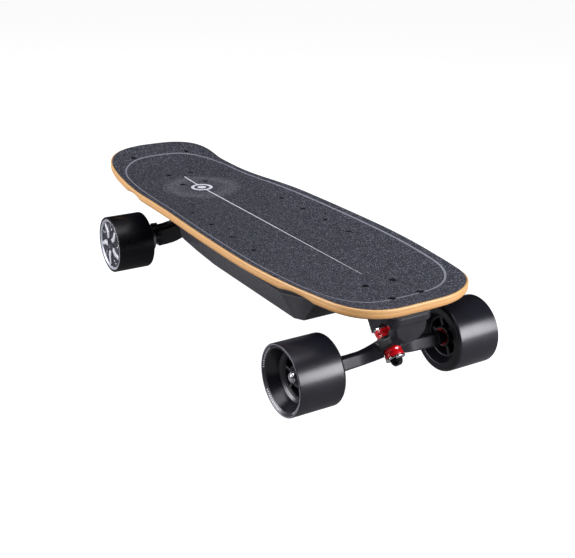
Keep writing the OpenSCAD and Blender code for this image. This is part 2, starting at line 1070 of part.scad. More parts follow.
module rear_right_sleeve() {
    wheel_side(1)
        sleeve();
}

module rear_right_cover() {
    wheel_side(1)
        cover();
}

module rear_right_screws() {
    wheel_side(1)
        cover_screws();
}

module rear_right_bearings() {
    wheel_side(1)
        motor_bearing_pair();
}

// --- motor cables -------------------------------------------------------------------------------
cable_r = 4.6;
cable_z = 61.6;               // height of the straight stretch above each arm
cable_path = [
    [-axle_back + 1, motor_boss_end, cable_z], [-axle_back + 1, 57, cable_z],
    [-axle_back - 2, 42, cable_z + 3.4], [-32, 30, 76], [-84, 24, 98], [-122, 22, 106]
];
tie_ys = [62.5, 66, 69.5];
tie_r = 5.8;
tie_w = 2.5;

// A cylinder from a to b, with a slightly larger ball at b, so that the two surfaces aren't tangent.
module rod_between(a, b, r) {
    d = b - a;
    len = norm(d);
    translate(a)
        rotate([0, acos(d[2] / len), atan2(d[1], d[0])])
            cylinder(r = r, h = len);
    translate(b)
        sphere(r = r * 1.04);
}

module motor_cables() {
    color("black")
        at_rear()
            mirrored_y()
                union() {
                    for (i = [0 : len(cable_path) - 2])
                        rod_between(cable_path[i], cable_path[i + 1], cable_r);
                }
}

module cable_ties() {
    color("black")
        at_rear()
            mirrored_y()
                for (y = tie_ys)
                    translate([-axle_back + 1, y, cable_z])
                        rotate([-90, 0, 0])
                            tube(tie_r, cable_r + slack, tie_w);
}

// --- enclosure ----------------------------------------------------------------------------------
rim_corner_y = 62;            // where the rim line bends to follow the concave
rim_flat_y = 41;
shoulder_y = 82;
shoulder_z = 100;
wall_z = 104;                 // the sides are upright above this
belly_front_u = 190;
belly_rear_u = -42;
front_lip_u = 206;
tail_face_u = -166;
gasket_t = 1.2;
rim_gap = 0.1;
under_z = stand_z - under;

// Height of the line just below the deck that the rim follows, by distance from the centre plane.
rim_points = [
    [0, under_z - rim_gap], [rim_flat_y, under_z - rim_gap], [rim_corner_y, under_z + 0.5],
    [rim_y + 6, under_z + 3.7]
];

module rim_section(drop) {
    polygon(concat(
        [for (i = [len(rim_points) - 1 : -1 : 0]) [-rim_points[i][0], rim_points[i][1] - drop]],
        [for (p = rim_points) [p[0], p[1] - drop]],
        [[rim_y + 6, 0], [-rim_y - 6, 0]]
    ));
}

module cross_section(inset) {
    half = [
        [belly_y - 1.15 * inset, belly_z + inset], [shoulder_y - inset, shoulder_z],
        [rim_y - inset, wall_z], [rim_y - inset, 140]
    ];
    polygon(concat(half, [for (i = [len(half) - 1 : -1 : 0]) [-half[i][0], half[i][1]]]));
}

module side_profile(inset) {
    polygon([
        [tail_face_u + inset, 140], [tail_face_u + inset, 96], [-160 + inset, 92 + inset],
        [-135, 83 + inset], [-95, 77 + inset], [belly_rear_u, belly_z + inset],
        [belly_front_u - inset, belly_z + inset], [front_lip_u - inset, 112], [front_lip_u - inset, 140]
    ]);
}

module plan_outline(inset) {
    half = [
        [front_lip_u - inset, 52], [belly_front_u - inset, 66], [158 - inset / 2, rim_y - inset],
        [27, rim_y - inset], [-36, rim_y - 4 - inset], [-140, rim_y - 6 - inset],
        [tail_face_u + inset, rim_y - 14 - inset]
    ];
    polygon(concat(half, [for (i = [len(half) - 1 : -1 : 0]) [half[i][0], -half[i][1]]]));
}

module enclosure_form(inset) {
    intersection() {
        translate([-250, 0, 0])
            rotate([90, 0, 90])
                linear_extrude(500)
                    cross_section(inset);
        translate([mid_x, 0, 0])
            rotate([90, 0, 0])
                linear_extrude(300, center = true)
                    side_profile(inset);
        translate([mid_x, 0, 0])
            linear_extrude(200)
                plan_outline(inset);
    }
}

module below_rim(drop) {
    intersection() {
        children();
        translate([-250, 0, 0])
            rotate([90, 0, 90])
                linear_extrude(500)
                    rim_section(drop);
    }
}

module at_shell_screws() {
    for (u = screw_us)
        for (b = [-1, 1])
            translate([mid_x + u, b * screw_y, 0])
                children();
}

post_r = 5.5;
post_z = 103;
side_part_z = 111.2;
port_u = 112;
button_u = 50;
socket_r = 5.8;
bezel_r = 6.4;
standoff_r = 3;
board_t = 1.6;
bms_z = 84;
bms_us = [-44, -6];
bms_y = 45;
controller_z = 95;
controller_us = [-136, -62];
controller_y = 38;
cable_hole_r = 5;

module standoffs(us, half_y, top) {
    for (u = [us[0] + 5, us[1] - 5])
        for (b = [-1, 1])
            translate([mid_x + u, b * (half_y - 5), belly_z + 1])
                cylinder(r = standoff_r, h = top - belly_z - 1);
}

module enclosure_shell() {
    color([0.2, 0.2, 0.22])
        difference() {
            below_rim(gasket_t + rim_gap)
                union() {
                    difference() {
                        enclosure_form(0);
                        enclosure_form(wall_t);
                    }
                    intersection() {
                        enclosure_form(1);
                        union() {
                            at_shell_screws()
                                translate([0, 0, post_z])
                                    cylinder(r = post_r, h = 40);
                            standoffs(bms_us, bms_y, bms_z);
                            standoffs(controller_us, controller_y, controller_z);
                        }
                    }
                }
            at_shell_screws()
                translate([0, 0, post_z + 3])
                    cylinder(r = screw_r + slack, h = 40);
            translate([mid_x + port_u, rim_y - 10, side_part_z])
                rotate([-90, 0, 0])
                    cylinder(r = socket_r + slack, h = 20);
            translate([mid_x + button_u, rim_y - 10, side_part_z])
                rotate([-90, 0, 0])
                    cylinder(r = bezel_r + slack, h = 20);
            mirrored_y()
                translate([mid_x + tail_face_u - 5, 22.3, 105])
                    rotate([0, 90, 0])
                        cylinder(r = cable_hole_r + 1, h = 12);
        }
}

module enclosure_gasket() {
    color("black")
        difference() {
            below_rim(rim_gap)
                union() {
                    difference() {
                        enclosure_form(0.3);
                        enclosure_form(wall_t);
                    }
                    intersection() {
                        enclosure_form(0.3);
                        at_shell_screws()
                            translate([0, 0, post_z])
                                cylinder(r = post_r, h = 40);
                    }
                }
            below_rim(gasket_t)
                translate([-250, -150, 0])
                    cube([500, 300, 200]);
            at_shell_screws()
                translate([0, 0, post_z])
                    cylinder(r = screw_hole_r, h = 40);
        }
}

// --- battery and electronics --------------------------------------------------------------------
pack_u = 8;
cell_pitch = cell_d + 0.2;
cell_floor = belly_z + wall_t + 0.6;
strip_t = 0.3;
rows_y = 1.2;                 // half the gap between the two rows

module at_cells() {
    for (i = [0 : cell_columns - 1])
        for (layer = [0, 1])
            for (b = [0, 1])
                mirror([0, b, 0])
                    translate([
                        mid_x + pack_u + (i + 0.5) * cell_pitch, rows_y, cell_floor + cell_d / 2 + layer * cell_pitch
                    ])
                        rotate([-90, 0, 0])
                            children();
}

module battery_cells() {
    color("steelblue")
        at_cells()
            cylinder(d = cell_d, h = cell_len);
}

// Strips that join neighbouring cells at both ends of each row.
module battery_strips() {
    color("silver")
        for (b = [0, 1])
            mirror([0, b, 0])
                for (y = [rows_y - strip_t - slack, rows_y + cell_len + slack])
                    for (i = [0 : 2 : cell_columns - 1])
                        translate([mid_x + pack_u + i * cell_pitch + 5, y, cell_floor + 5])
                            cube([i + 1 < cell_columns ? cell_pitch * 2 - 10 : cell_pitch - 10,
                                strip_t, 2 * cell_pitch - 10]);
}

// Trays that the two rows of cells lie in, one at each end of the pack.
module cell_holders() {
    wall = 1.6;
    color([0.1, 0.1, 0.1])
        for (b = [0, 1])
            mirror([0, b, 0])
                for (y = [8, rows_y + cell_len - 12])
                    difference() {
                        translate([mid_x + pack_u - wall, y, cell_floor - 0.5])
                            cube([cell_columns * cell_pitch + 2 * wall, 6, 2 * cell_pitch + 0.9]);
                        translate([0, -1, 0])
                            at_cells()
                                cylinder(d = cell_d + 0.1, h = cell_len + 2);
                    }
}

module board_at(us, half_y, z) {
    translate([mid_x + us[0], -half_y, z])
        cube([us[1] - us[0], 2 * half_y, board_t]);
}

module bms_board() {
    color("darkgreen")
        union() {
            board_at(bms_us, bms_y, bms_z);
            for (y = [-30 : 12 : 30])
                translate([mid_x + bms_us[0] + 8, y - 3, bms_z + board_t - eps])
                    cube([9, 6, 2.5]);
            translate([mid_x + bms_us[1] - 12, -28, bms_z + board_t - eps])
                cube([8, 56, 6]);
        }
}

module motor_controller() {
    color("darkgreen")
        union() {
            board_at(controller_us, controller_y, controller_z);
            for (y = [-30 : 10 : 30])
                translate([mid_x + controller_us[0] + 18, y - 3.5, controller_z + board_t - eps])
                    cube([10, 7, 4]);
            for (y = [-24 : 16 : 24])
                translate([mid_x + controller_us[1] - 14, y, controller_z + board_t - eps])
                    cylinder(r = 6.2, h = 14);
            translate([mid_x + controller_us[0] + 34, -22, controller_z + board_t - eps])
                cube([14, 44, 6]);
        }
}

// Two leads from the pack, over the management board, to the controller.
module power_harness() {
    color("firebrick")
        for (y = [-38, 38])
            union() {
                rod_between([mid_x + pack_u - 2, y, 104], [mid_x - 40, y, 106], 1.8);
                rod_between([mid_x - 40, y, 106], [mid_x - 58, y * 0.86, 108], 1.8);
            }
}

// --- charge socket, its cover and the power button ----------------------------------------------
plug_r = 2.85;
socket_len = 12;
socket_face_y = rim_y + 0.6;
cover_len = 15;
cover_width = 16;
cover_thick = 1.6;
cover_pin_r = 0.8;
cover_pin_z = side_part_z - 8.8;
button_r = 4.6;
button_out = 2.2;
bezel_face_y = rim_y + 1;

// Turns a shape drawn around Z to point out of the left side wall.
module out_of_side(u, y) {
    translate([mid_x + u, y, side_part_z])
        rotate([-90, 0, 0])
            children();
}

module charge_socket() {
    color([0.1, 0.1, 0.1])
        union() {
            difference() {
                union() {
                    out_of_side(port_u, socket_face_y - socket_len)
                        cylinder(r = socket_r, h = socket_len);
                    translate([mid_x + port_u - 5, rim_y + slack, cover_pin_z])
                        cube([10, 0.55, 9]);
                }
                out_of_side(port_u, socket_face_y - 10)
                    cylinder(r = plug_r, h = 12);
            }
            for (a = [-1, 1])
                translate([mid_x + port_u + a * 5.5 - 1.2, rim_y + slack, cover_pin_z - 1.25])
                    difference() {
                        cube([2.4, 2.6, 2.5]);
                        translate([-1, socket_face_y + cover_thick / 2 - rim_y, 1.25])
                            rotate([0, 90, 0])
                                cylinder(r = cover_pin_r + slack, h = 5);
                    }
        }
}

module charge_port_cover() {
    y = socket_face_y + slack;
    color([0.1, 0.1, 0.1])
        union() {
            translate([mid_x + port_u - cover_width / 2, y, cover_pin_z + 2.2])
                cube([cover_width, cover_thick, cover_len - 2.2]);
            translate([mid_x + port_u - 4, y + 0.1, cover_pin_z])
                cube([8, cover_thick - 0.2, 3]);
            translate([mid_x + port_u - 6.6, socket_face_y + cover_thick / 2, cover_pin_z])
                rotate([0, 90, 0])
                    cylinder(r = cover_pin_r, h = 13.2);
        }
}

module button_bezel() {
    color("silver")
        union() {
            out_of_side(button_u, bezel_face_y - 9)
                tube(bezel_r, button_r + slack, 9);
            out_of_side(button_u, rim_y + slack)
                tube(bezel_r + 1.2, button_r + slack, bezel_face_y - rim_y - slack);
            out_of_side(button_u, bezel_face_y - 9)
                cylinder(r = bezel_r, h = 1.5);
        }
}

module power_button() {
    color("red")
        out_of_side(button_u, bezel_face_y - 5)
            cylinder(r = button_r, h = 5 + button_out);
}

deck();
grip_tape();
truck_bolts();
truck_nuts();
deck_screws();
tail_pad();
riser_pads();
front_baseplate();
rear_baseplate();
pivot_cups();
kingpins();
kingpin_nuts();
bushing_washers();
front_boardside_bushing();
front_roadside_bushing();
rear_boardside_bushing();
rear_roadside_bushing();
enclosure_shell();
enclosure_gasket();
battery_cells();
battery_strips();
cell_holders();
bms_board();
motor_controller();
power_harness();
charge_socket();
charge_port_cover();
button_bezel();
power_button();
front_hanger();
front_axle();
front_axle_nuts();
front_speed_rings();
front_spacers();
front_inner_races();
front_left_tyre();
front_left_core();
front_left_bearings();
front_right_tyre();
front_right_core();
front_right_bearings();
rear_hanger();
motor_shafts();
motor_stators();
motor_windings();
motor_inner_races();
motor_cables();
cable_ties();
rear_left_can();
rear_left_magnets();
rear_left_sleeve();
rear_left_cover();
rear_left_screws();
rear_left_bearings();
rear_right_can();
rear_right_magnets();
rear_right_sleeve();
rear_right_cover();
rear_right_screws();
rear_right_bearings();
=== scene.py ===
import json
import math

import bmesh
import bpy
import numpy as np
from mathutils import Matrix, Vector


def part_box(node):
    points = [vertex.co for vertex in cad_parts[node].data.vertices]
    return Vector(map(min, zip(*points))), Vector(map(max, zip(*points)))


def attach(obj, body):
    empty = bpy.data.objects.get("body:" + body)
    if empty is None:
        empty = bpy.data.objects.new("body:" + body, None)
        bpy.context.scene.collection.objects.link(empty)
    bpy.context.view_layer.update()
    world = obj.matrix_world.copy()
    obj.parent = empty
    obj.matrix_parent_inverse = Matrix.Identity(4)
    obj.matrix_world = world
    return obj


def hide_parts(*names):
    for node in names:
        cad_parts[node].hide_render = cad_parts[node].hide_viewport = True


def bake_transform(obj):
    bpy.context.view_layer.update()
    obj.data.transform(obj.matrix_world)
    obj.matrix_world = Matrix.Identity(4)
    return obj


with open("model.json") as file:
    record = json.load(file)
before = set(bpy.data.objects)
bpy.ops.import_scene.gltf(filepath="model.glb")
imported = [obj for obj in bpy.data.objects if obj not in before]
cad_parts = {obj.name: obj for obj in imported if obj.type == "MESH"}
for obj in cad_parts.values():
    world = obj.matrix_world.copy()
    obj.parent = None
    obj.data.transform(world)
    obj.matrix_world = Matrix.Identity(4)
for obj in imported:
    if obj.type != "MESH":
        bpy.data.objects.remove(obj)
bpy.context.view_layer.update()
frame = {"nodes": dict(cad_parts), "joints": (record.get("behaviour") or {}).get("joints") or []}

MM = 0.001
WELD = 0.01 * MM
JOINTS = {joint["name"]: joint for joint in frame["joints"]}
NODES = frame["nodes"]
LEFT, RIGHT = 1, -1
FRONT, REAR = 1, -1
X, Y, Z = np.eye(3)


# --- Measures of the frame ---
def cad_box(node):
    """Lowest and highest corner of a CAD node, in millimetres."""
    low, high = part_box(node)
    return np.array(low) / MM, np.array(high) / MM


def joint_at(name):
    return np.array(JOINTS[name]["pos_m"]) / MM


def solids_of(node):
    """The box of each separate solid in a CAD node, in millimetres."""
    copy = bmesh.new()
    copy.from_mesh(NODES[node].data)
    bmesh.ops.remove_doubles(copy, verts=copy.verts, dist=WELD)
    boxes, seen = [], set()
    for seed in copy.verts:
        if seed in seen:
            continue
        reached, waiting = [], [seed]
        seen.add(seed)
        while waiting:
            vertex = waiting.pop()
            reached.append(vertex.co / MM)
            for edge in vertex.link_edges:
                other = edge.other_vert(vertex)
                if other not in seen:
                    seen.add(other)
                    waiting.append(other)
        places = np.array(reached)
        boxes.append((places.min(0), places.max(0)))
    copy.free()
    return boxes


RING = {FRONT: joint_at("front_steer"), REAR: joint_at("rear_steer")}
AXLE = {FRONT: joint_at("front_left_spin"), REAR: joint_at("rear_left_spin")}
MID_X = (RING[FRONT][0] + RING[REAR][0]) / 2
AXLE_BACK = RING[FRONT][0] - AXLE[FRONT][0]
SIDE_NAME = {LEFT: "left", RIGHT: "right"}
END_NAME = {FRONT: "front", REAR: "rear"}


# --- Solids: each is a pair of points in millimetres and faces ---
def unit(v):
    v = np.asarray(v, float)
    return v / np.linalg.norm(v)


def sides_of(axis):
    """Two directions square to an axis and to each other."""
    helper = X if abs(unit(axis)[1]) > 0.9 else Y
    first = unit(helper - unit(axis) * (helper @ unit(axis)))
    return first, np.cross(unit(axis), first)


def fillet(outline, radius, steps=5):
    """Rounds the corners of a closed outline; radius is one number, or one for each corner."""
    made = []
    count = len(outline)
    radii = radius if isinstance(radius, (list, tuple)) else [radius] * count
    for i in range(count):
        here = np.array(outline[i], float)
        back = np.array(outline[i - 1]) - here
        ahead = np.array(outline[(i + 1) % count]) - here
        back_len, ahead_len = np.linalg.norm(back), np.linalg.norm(ahead)
        back, ahead = back / back_len, ahead / ahead_len
        angle = math.acos(np.clip(back @ ahead, -1, 1))
        if radii[i] <= 0 or angle > math.radians(176):
            made.append(here)
            continue
        cut = min(radii[i] / math.tan(angle / 2), 0.46 * back_len, 0.46 * ahead_len)
        reach = cut / math.cos(angle / 2)
        centre = here + unit(back + ahead) * reach
        start = here + back * cut - centre
        onward = ahead - back
        turn = math.copysign(math.pi - angle, start[0] * onward[1] - start[1] * onward[0])
        for k in range(steps + 1):
            a = turn * k / steps
            made.append(centre + [start[0] * math.cos(a) - start[1] * math.sin(a),
                                  start[0] * math.sin(a) + start[1] * math.cos(a)])
    return made


def band(rings, count, closed=False):
    """Faces between neighbouring rings of count points; closed joins the last ring to the first."""
    return [
        (k * count + i, k * count + (i + 1) % count,
         (k + 1) % rings * count + (i + 1) % count, (k + 1) % rings * count + i)
        for k in range(rings if closed else rings - 1) for i in range(count)
    ]


def lathe(outline, centre, axis, steps=128):
    """Turns a closed outline of (radius, distance along the axis); it may be a function of the angle."""
    first, second = sides_of(axis)
    centre, axis = np.asarray(centre, float), unit(axis)
    points = []
    for k in range(steps):
        a = 2 * math.pi * k / steps
        out = first * math.cos(a) + second * math.sin(a)
        section = outline(a) if callable(outline) else outline
        points += [centre + out * r + axis * s for r, s in section]
    return points, band(steps, len(section), closed=True)


def ring_solid(r_out, r_in, start, end, centre, axis, soften=0.3, steps=96):
    """A tube, or a rod where r_in is 0, with softened edges."""
    corners = [(r_in, start), (r_out, start), (r_out, end), (r_in, end)]
    radii = [soften if r_in > 0 else 0, soften, soften, soften if r_in > 0 else 0]
    return lathe(fillet(corners, radii, 3), centre, axis, steps)


def hexagon_nut(centre, axis, flat_r, bore_r, height):
    """A nut whose corners are chamfered by a cone at both faces."""
    def section(a):
        hex_r = flat_r / math.cos(a % (math.pi / 3) - math.pi / 6)
        drop = (hex_r - flat_r) * math.tan(math.radians(30)) + 0.05
        return [
            (bore_r, 0.4), (bore_r + 0.4, 0), (flat_r * 0.97, 0), (hex_r, drop),
            (hex_r, height - drop), (flat_r * 0.97, height), (bore_r + 0.4, height), (bore_r, height - 0.4),
        ]

    return lathe(section, centre, axis, 48)


def prism(outline, origin, across, up, along, start, end):
    """A flat outline in the (across, up) plane, pushed along a direction."""
    origin, along = np.asarray(origin, float), np.asarray(along, float)
    flat = [origin + np.asarray(across) * p[0] + np.asarray(up) * p[1] for p in outline]
    count = len(flat)
    points = [p + along * start for p in flat] + [p + along * end for p in flat]
    faces = [tuple(range(count)), tuple(range(2 * count - 1, count - 1, -1))]
    faces += [(i, (i + 1) % count, count + (i + 1) % count, count + i) for i in range(count)]
    return points, faces


def loft(rings):
    """Joins closed rings of equal length in order, with a flat cap at both ends."""
    count = len(rings[0])
    points = [p for ring in rings for p in ring]
    last = (len(rings) - 1) * count
    caps = [tuple(range(count)), tuple(range(last + count - 1, last - 1, -1))]
    return points, band(len(rings), count) + caps


def spline(points, per_span=16):
    """A smooth path through the given points."""
    p = [np.asarray(q, float) for q in points]
    p = [2 * p[0] - p[1]] + p + [2 * p[-1] - p[-2]]
    path = []
    for i in range(1, len(p) - 2):
        for k in range(per_span):
            t = k / per_span
            path.append(0.5 * (
                2 * p[i] + (p[i + 1] - p[i - 1]) * t
                + (2 * p[i - 1] - 5 * p[i] + 4 * p[i + 1] - p[i + 2]) * t ** 2
                + (3 * p[i] - p[i - 1] - 3 * p[i + 1] + p[i + 2]) * t ** 3
            ))
    path.append(p[-2])
    return path


def evenly(path, gap):
    """The same path with points a fixed distance apart."""
    path = np.array(path)
    length = np.concatenate([[0], np.cumsum(np.linalg.norm(np.diff(path, axis=0), axis=1))])
    places = np.linspace(0, length[-1], max(2, int(length[-1] / gap) + 1))
    return np.stack([np.interp(places, length, path[:, k]) for k in range(3)], 1), places


def hose(path, radius_at, gap=0.8, around=32):
    """A round solid along a path; radius_at(distance, angle) gives its surface."""
    places, distance = evenly(path, gap)
    ahead = np.gradient(places, axis=0)
    side = sides_of(ahead[0])[0]
    rings = []
    for place, forward, s in zip(places, ahead, distance):
        forward = unit(forward)
        side = unit(side - forward * (side @ forward))
        up = np.cross(forward, side)
        turns = [2 * math.pi * k / around for k in range(around)]
        rings.append([place + (side * math.cos(a) + up * math.sin(a)) * radius_at(s, a) for a in turns])
    return loft(rings)


# --- Objects ---
def clean(mesh, sharp):
    """Joins doubled points, drops empty faces, points the faces outwards and marks sharp edges."""
    work = bmesh.new()
    work.from_mesh(mesh)
    bmesh.ops.remove_doubles(work, verts=work.verts, dist=0.002 * MM)
    bmesh.ops.dissolve_degenerate(work, edges=work.edges, dist=0.001 * MM)
    bmesh.ops.recalc_face_normals(work, faces=work.faces)
    work.to_mesh(mesh)
    work.free()
    mesh.polygons.foreach_set("use_smooth", [True] * len(mesh.polygons))
    mesh.set_sharp_from_angle(angle=math.radians(sharp))


def add_object(name, data):
    made = bpy.data.objects.new(name, data)
    bpy.context.scene.collection.objects.link(made)
    return made


def make(name, solids, *materials, sharp=38, slots=None, values=None):
    """An object from solids; slots gives a material number for each face, values a number for each point."""
    points, faces = [], []
    for solid_points, solid_faces in solids:
        base = len(points)
        points += list(solid_points)
        faces += [tuple(i + base for i in face) for face in solid_faces]
    mesh = bpy.data.meshes.new(name)
    mesh.from_pydata((np.array(points) * MM).tolist(), [], faces)
    for material in materials:
        mesh.materials.append(material)
    if slots is not None:
        mesh.polygons.foreach_set("material_index", slots)
    if values is not None:
        layer = mesh.attributes.new("level", "FLOAT", "POINT")
        layer.data.foreach_set("value", np.asarray(values, np.float32))
    clean(mesh, sharp)
    return add_object(name, mesh)


def settle(obj, sharp=38):
    """Applies an object's modifiers to its mesh."""
    bpy.context.view_layer.update()
    graph = bpy.context.evaluated_depsgraph_get()
    mesh = bpy.data.meshes.new_from_object(
        obj.evaluated_get(graph), preserve_all_data_layers=True, depsgraph=graph
    )
    obj.modifiers.clear()
    obj.data = mesh
    clean(mesh, sharp)
    return obj


def combine(obj, solids, operation, sharp=38):
    """Cuts solids out of an object, or joins them to it."""
    tool = make("tool", solids, *obj.data.materials)
    step = obj.modifiers.new("combine", "BOOLEAN")
    step.operation = operation
    step.solver = "EXACT"
    step.object = tool
    settle(obj, sharp)
    bpy.data.objects.remove(tool)
    return obj


def bevel(obj, width, segments=3, angle=32, sharp=60):
    """Rounds the sharp edges of an object's mesh."""
    step = obj.modifiers.new("bevel", "BEVEL")
    step.width = width * MM
    step.segments = segments
    step.limit_method = "ANGLE"
    step.angle_limit = math.radians(angle)
    return settle(obj, sharp)


def cast(obj, voxel, passes=6, sharp=50):
    """Melts an object's solids into one skin with softly rounded edges, like a casting."""
    skin = obj.modifiers.new("skin", "REMESH")
    skin.mode = "VOXEL"
    skin.voxel_size = voxel * MM
    skin.adaptivity = 0
    soft = obj.modifiers.new("soft", "SMOOTH")
    soft.factor = 0.5
    soft.iterations = passes
    return settle(obj, sharp)


def put(obj, body, slot, *nodes):
    """Rides an object on a body, as the stand-in for CAD nodes."""
    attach(obj, body)
    if nodes:
        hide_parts(*nodes)
    return obj


# --- Materials ---
class Finish:
    """A node material, with short calls for its nodes. Lengths in it are metres."""

    def __init__(self, name, rough=0.5, metal=0.0, specular=0.5):
        self.material = bpy.data.materials.new(name)
        self.material.use_nodes = True
        self.tree = self.material.node_tree
        self.skin = self.tree.nodes["Principled BSDF"]
        self.set("Roughness", rough)
        self.set("Metallic", metal)
        self.set("Specular IOR Level", specular)
        self.place = self.node("TexCoord").outputs["Object"]

    def node(self, kind, **settings):
        made = self.tree.nodes.new("ShaderNode" + kind)
        for key, value in settings.items():
            setattr(made, key, value)
        return made

    def feed(self, socket, value):
        if isinstance(value, bpy.types.NodeSocket):
            self.tree.links.new(value, socket)
        elif isinstance(value, tuple) and len(value) == 3 and socket.type == "RGBA":
            socket.default_value = (*value, 1)
        else:
            socket.default_value = value

    def set(self, name, value):
        self.feed(self.skin.inputs[name], value)

    def colour(self, value):
        self.set("Base Color", value)

    def math(self, operation, *values):
        made = self.node("Math", operation=operation)
        for socket, value in zip(made.inputs, values):
            self.feed(socket, value)
        return made.outputs[0]

    def times(self, first, *others):
        for other in others:
            first = self.math("MULTIPLY", first, other)
        return first

    def hypot(self, a, b):
        return self.math("SQRT", self.math("ADD", self.times(a, a), self.times(b, b)))

    def above(self, value, limit):
        return self.math("GREATER_THAN", value, limit)

    def below(self, value, limit):
        return self.math("LESS_THAN", value, limit)

    def axis(self, name, where=None):
        split = self.node("SeparateXYZ")
        self.feed(split.inputs[0], where or self.place)
        return split.outputs[name]

    def stretched(self, x, y, z):
        mapping = self.node("Mapping")
        self.feed(mapping.inputs["Vector"], self.place)
        mapping.inputs["Scale"].default_value = (x, y, z)
        return mapping.outputs[0]

    def noise(self, scale, detail=3.0, rough=0.5, where=None):
        made = self.node("TexNoise")
        self.feed(made.inputs["Vector"], where or self.place)
        self.feed(made.inputs["Scale"], scale)
        self.feed(made.inputs["Detail"], detail)
        self.feed(made.inputs["Roughness"], rough)
        return made.outputs["Fac"]

    def cells(self, scale, output="Distance"):
        made = self.node("TexVoronoi")
        self.feed(made.inputs["Vector"], self.place)
        self.feed(made.inputs["Scale"], scale)
        return made.outputs[output]

    def between(self, value, low, high, start=0.0, end=1.0):
        """Maps a value from low..high to start..end, clamped."""
        made = self.node("MapRange")
        for socket, number in zip(made.inputs, (value, low, high, start, end)):
            self.feed(socket, number)
        return made.outputs[0]

    def mix(self, share, a, b):
        made = self.node("Mix", data_type="RGBA")
        self.feed(made.inputs[0], share)
        self.feed(made.inputs[6], a)
        self.feed(made.inputs[7], b)
        return made.outputs[2]

    def ramp(self, value, low, high, a, b, most=1.0):
        """Colour a where the value is low; where it is high, colour b by the share most."""
        return self.mix(self.between(value, low, high, 0, most), a, b)

    def uneven(self, pattern, low, high):
        """Roughness that drifts with a pattern."""
        self.set("Roughness", self.between(pattern, 0.3, 0.7, low, high))

    def bump(self, height, depth, strength=1.0, under=None):
        """Relief of a given depth in millimetres."""
        made = self.node("Bump")
        self.feed(made.inputs["Height"], height)
        self.feed(made.inputs["Strength"], strength)
        self.feed(made.inputs["Distance"], depth * MM)
        if under is not None:
            self.feed(made.inputs["Normal"], under)
        self.set("Normal", made.outputs[0])
        return made.outputs[0]

    def level(self):
        return self.node("Attribute", attribute_name="level").outputs["Fac"]


def moulded(name, colour, rough=0.5, grain=900, depth=0.03, specular=0.5, spread=0.25):
    """Moulded plastic or rubber: slight colour drift, fine skin and uneven sheen."""
    f = Finish(name, rough, 0, specular)
    dark = tuple(c * (1 - spread) for c in colour)
    light = tuple(c * (1 + spread) for c in colour)
    f.colour(f.ramp(f.noise(35, 3), 0.35, 0.65, dark, light))
    f.uneven(f.noise(160, 4), rough - 0.06, rough + 0.06)
    f.bump(f.noise(grain, 3, 0.6), depth)
    return f


def metal(name, colour, rough=0.3, brushed=(1, 1, 1), depth=0.006, spread=0.15):
    """Metal with fine tool marks, stretched across the brushed axes."""
    f = Finish(name, rough, 1)
    marks = f.noise(1400, 4, 0.7, f.stretched(*brushed))
    dark = tuple(c * (1 - spread) for c in colour)
    f.colour(f.ramp(f.noise(60, 4), 0.35, 0.7, colour, dark))
    f.uneven(marks, rough * 0.7, rough * 1.35)
    f.bump(marks, depth)
    return f


def ply_finish():
    """Maple plies with glue lines on the edge, grain along the board, a painted highlight along the edge's
    upper rounding, darker towards the bottom of the edge, and a stained underside.
    """
    f = Finish("ply", 0.32, 0, 0.5)
    depth = f.level()
    along = f.stretched(9, 60, 60)
    grain = f.noise(9, 6, 0.65, along)
    fine = f.noise(60, 4, 0.7, f.stretched(4, 45, 45))
    honey = f.ramp(grain, 0.3, 0.72, (0.64, 0.36, 0.135), (0.51, 0.24, 0.068))
    honey = f.ramp(fine, 0.45, 0.75, honey, (0.36, 0.15, 0.042), 0.35)
    wave = f.math("ADD", depth, f.times(f.math("SUBTRACT", f.noise(14, 2), 0.5), 0.22))
    ply_t = 1.71
    ply = f.math("FRACT", f.math("DIVIDE", wave, ply_t))
    tone = f.math("FRACT", f.math("DIVIDE", wave, 2 * ply_t))
    honey = f.ramp(tone, 0.46, 0.54, honey, (0.66, 0.41, 0.175), 0.55)
    glue = f.math("ABSOLUTE", f.math("SUBTRACT", ply, 0.5))
    honey = f.ramp(glue, 0.40, 0.5, honey, (0.30, 0.12, 0.040), 0.6)
    # Darker towards the bottom of the edge.
    honey = f.ramp(depth, 7.2, 9.0, honey, (0.42, 0.18, 0.040), 0.45)
    # Painted highlight: lighter along the upper rounding of the edge, where it catches the light.
    honey = f.mix(f.between(depth, 0.8, 2.4, 0.55, 0), honey, (0.66, 0.41, 0.18))
    stain = f.ramp(f.noise(24, 5, 0.7, along), 0.3, 0.7, (0.008, 0.010, 0.020), (0.020, 0.022, 0.034))
    f.colour(f.ramp(depth, 10.9, 11.1, honey, stain))
    f.set("Coat Weight", 0.2)
    f.set("Coat Roughness", 0.18)
    f.uneven(grain, 0.30, 0.42)
    f.bump(f.math("ADD", f.times(fine, 0.5), f.between(glue, 0.42, 0.5, 0, -0.8)), 0.05)
    return f.material


def grit(name, printed):
    """Coarse mineral grit; printed gives the share of pale ink, as a socket, and its colour."""
    f = Finish(name, 0.75, 0, 0.2)
    grains_per_m = 1150
    grains = f.cells(grains_per_m)
    bright = f.axis("X", f.cells(grains_per_m, output="Color"))
    clumps = f.noise(350, 4, 0.7)
    base = f.ramp(clumps, 0.38, 0.62, (0.010, 0.0105, 0.015), (0.058, 0.060, 0.076))
    base = f.ramp(f.noise(70, 3, 0.6), 0.35, 0.65, base, (0.034, 0.035, 0.048), 0.3)
    base = f.ramp(bright, 0.86, 0.95, base, (0.24, 0.245, 0.28), 0.8)
    base = f.mix(f.between(bright, 0.0, 0.12, 0.65, 0), base, (0.008, 0.008, 0.011))
    ink, worn = printed(f)
    f.colour(f.mix(f.times(ink, f.between(clumps, 0.25, 0.45, 0.55, 1)), base, worn))
    f.set("Roughness", f.between(bright, 0.8, 1, 0.8, 0.35))
    first = f.bump(f.between(grains, 0.0, 0.8, 1, 0), 0.35, 0.9)
    f.bump(clumps, 0.25, 0.6, first)
    return f.material


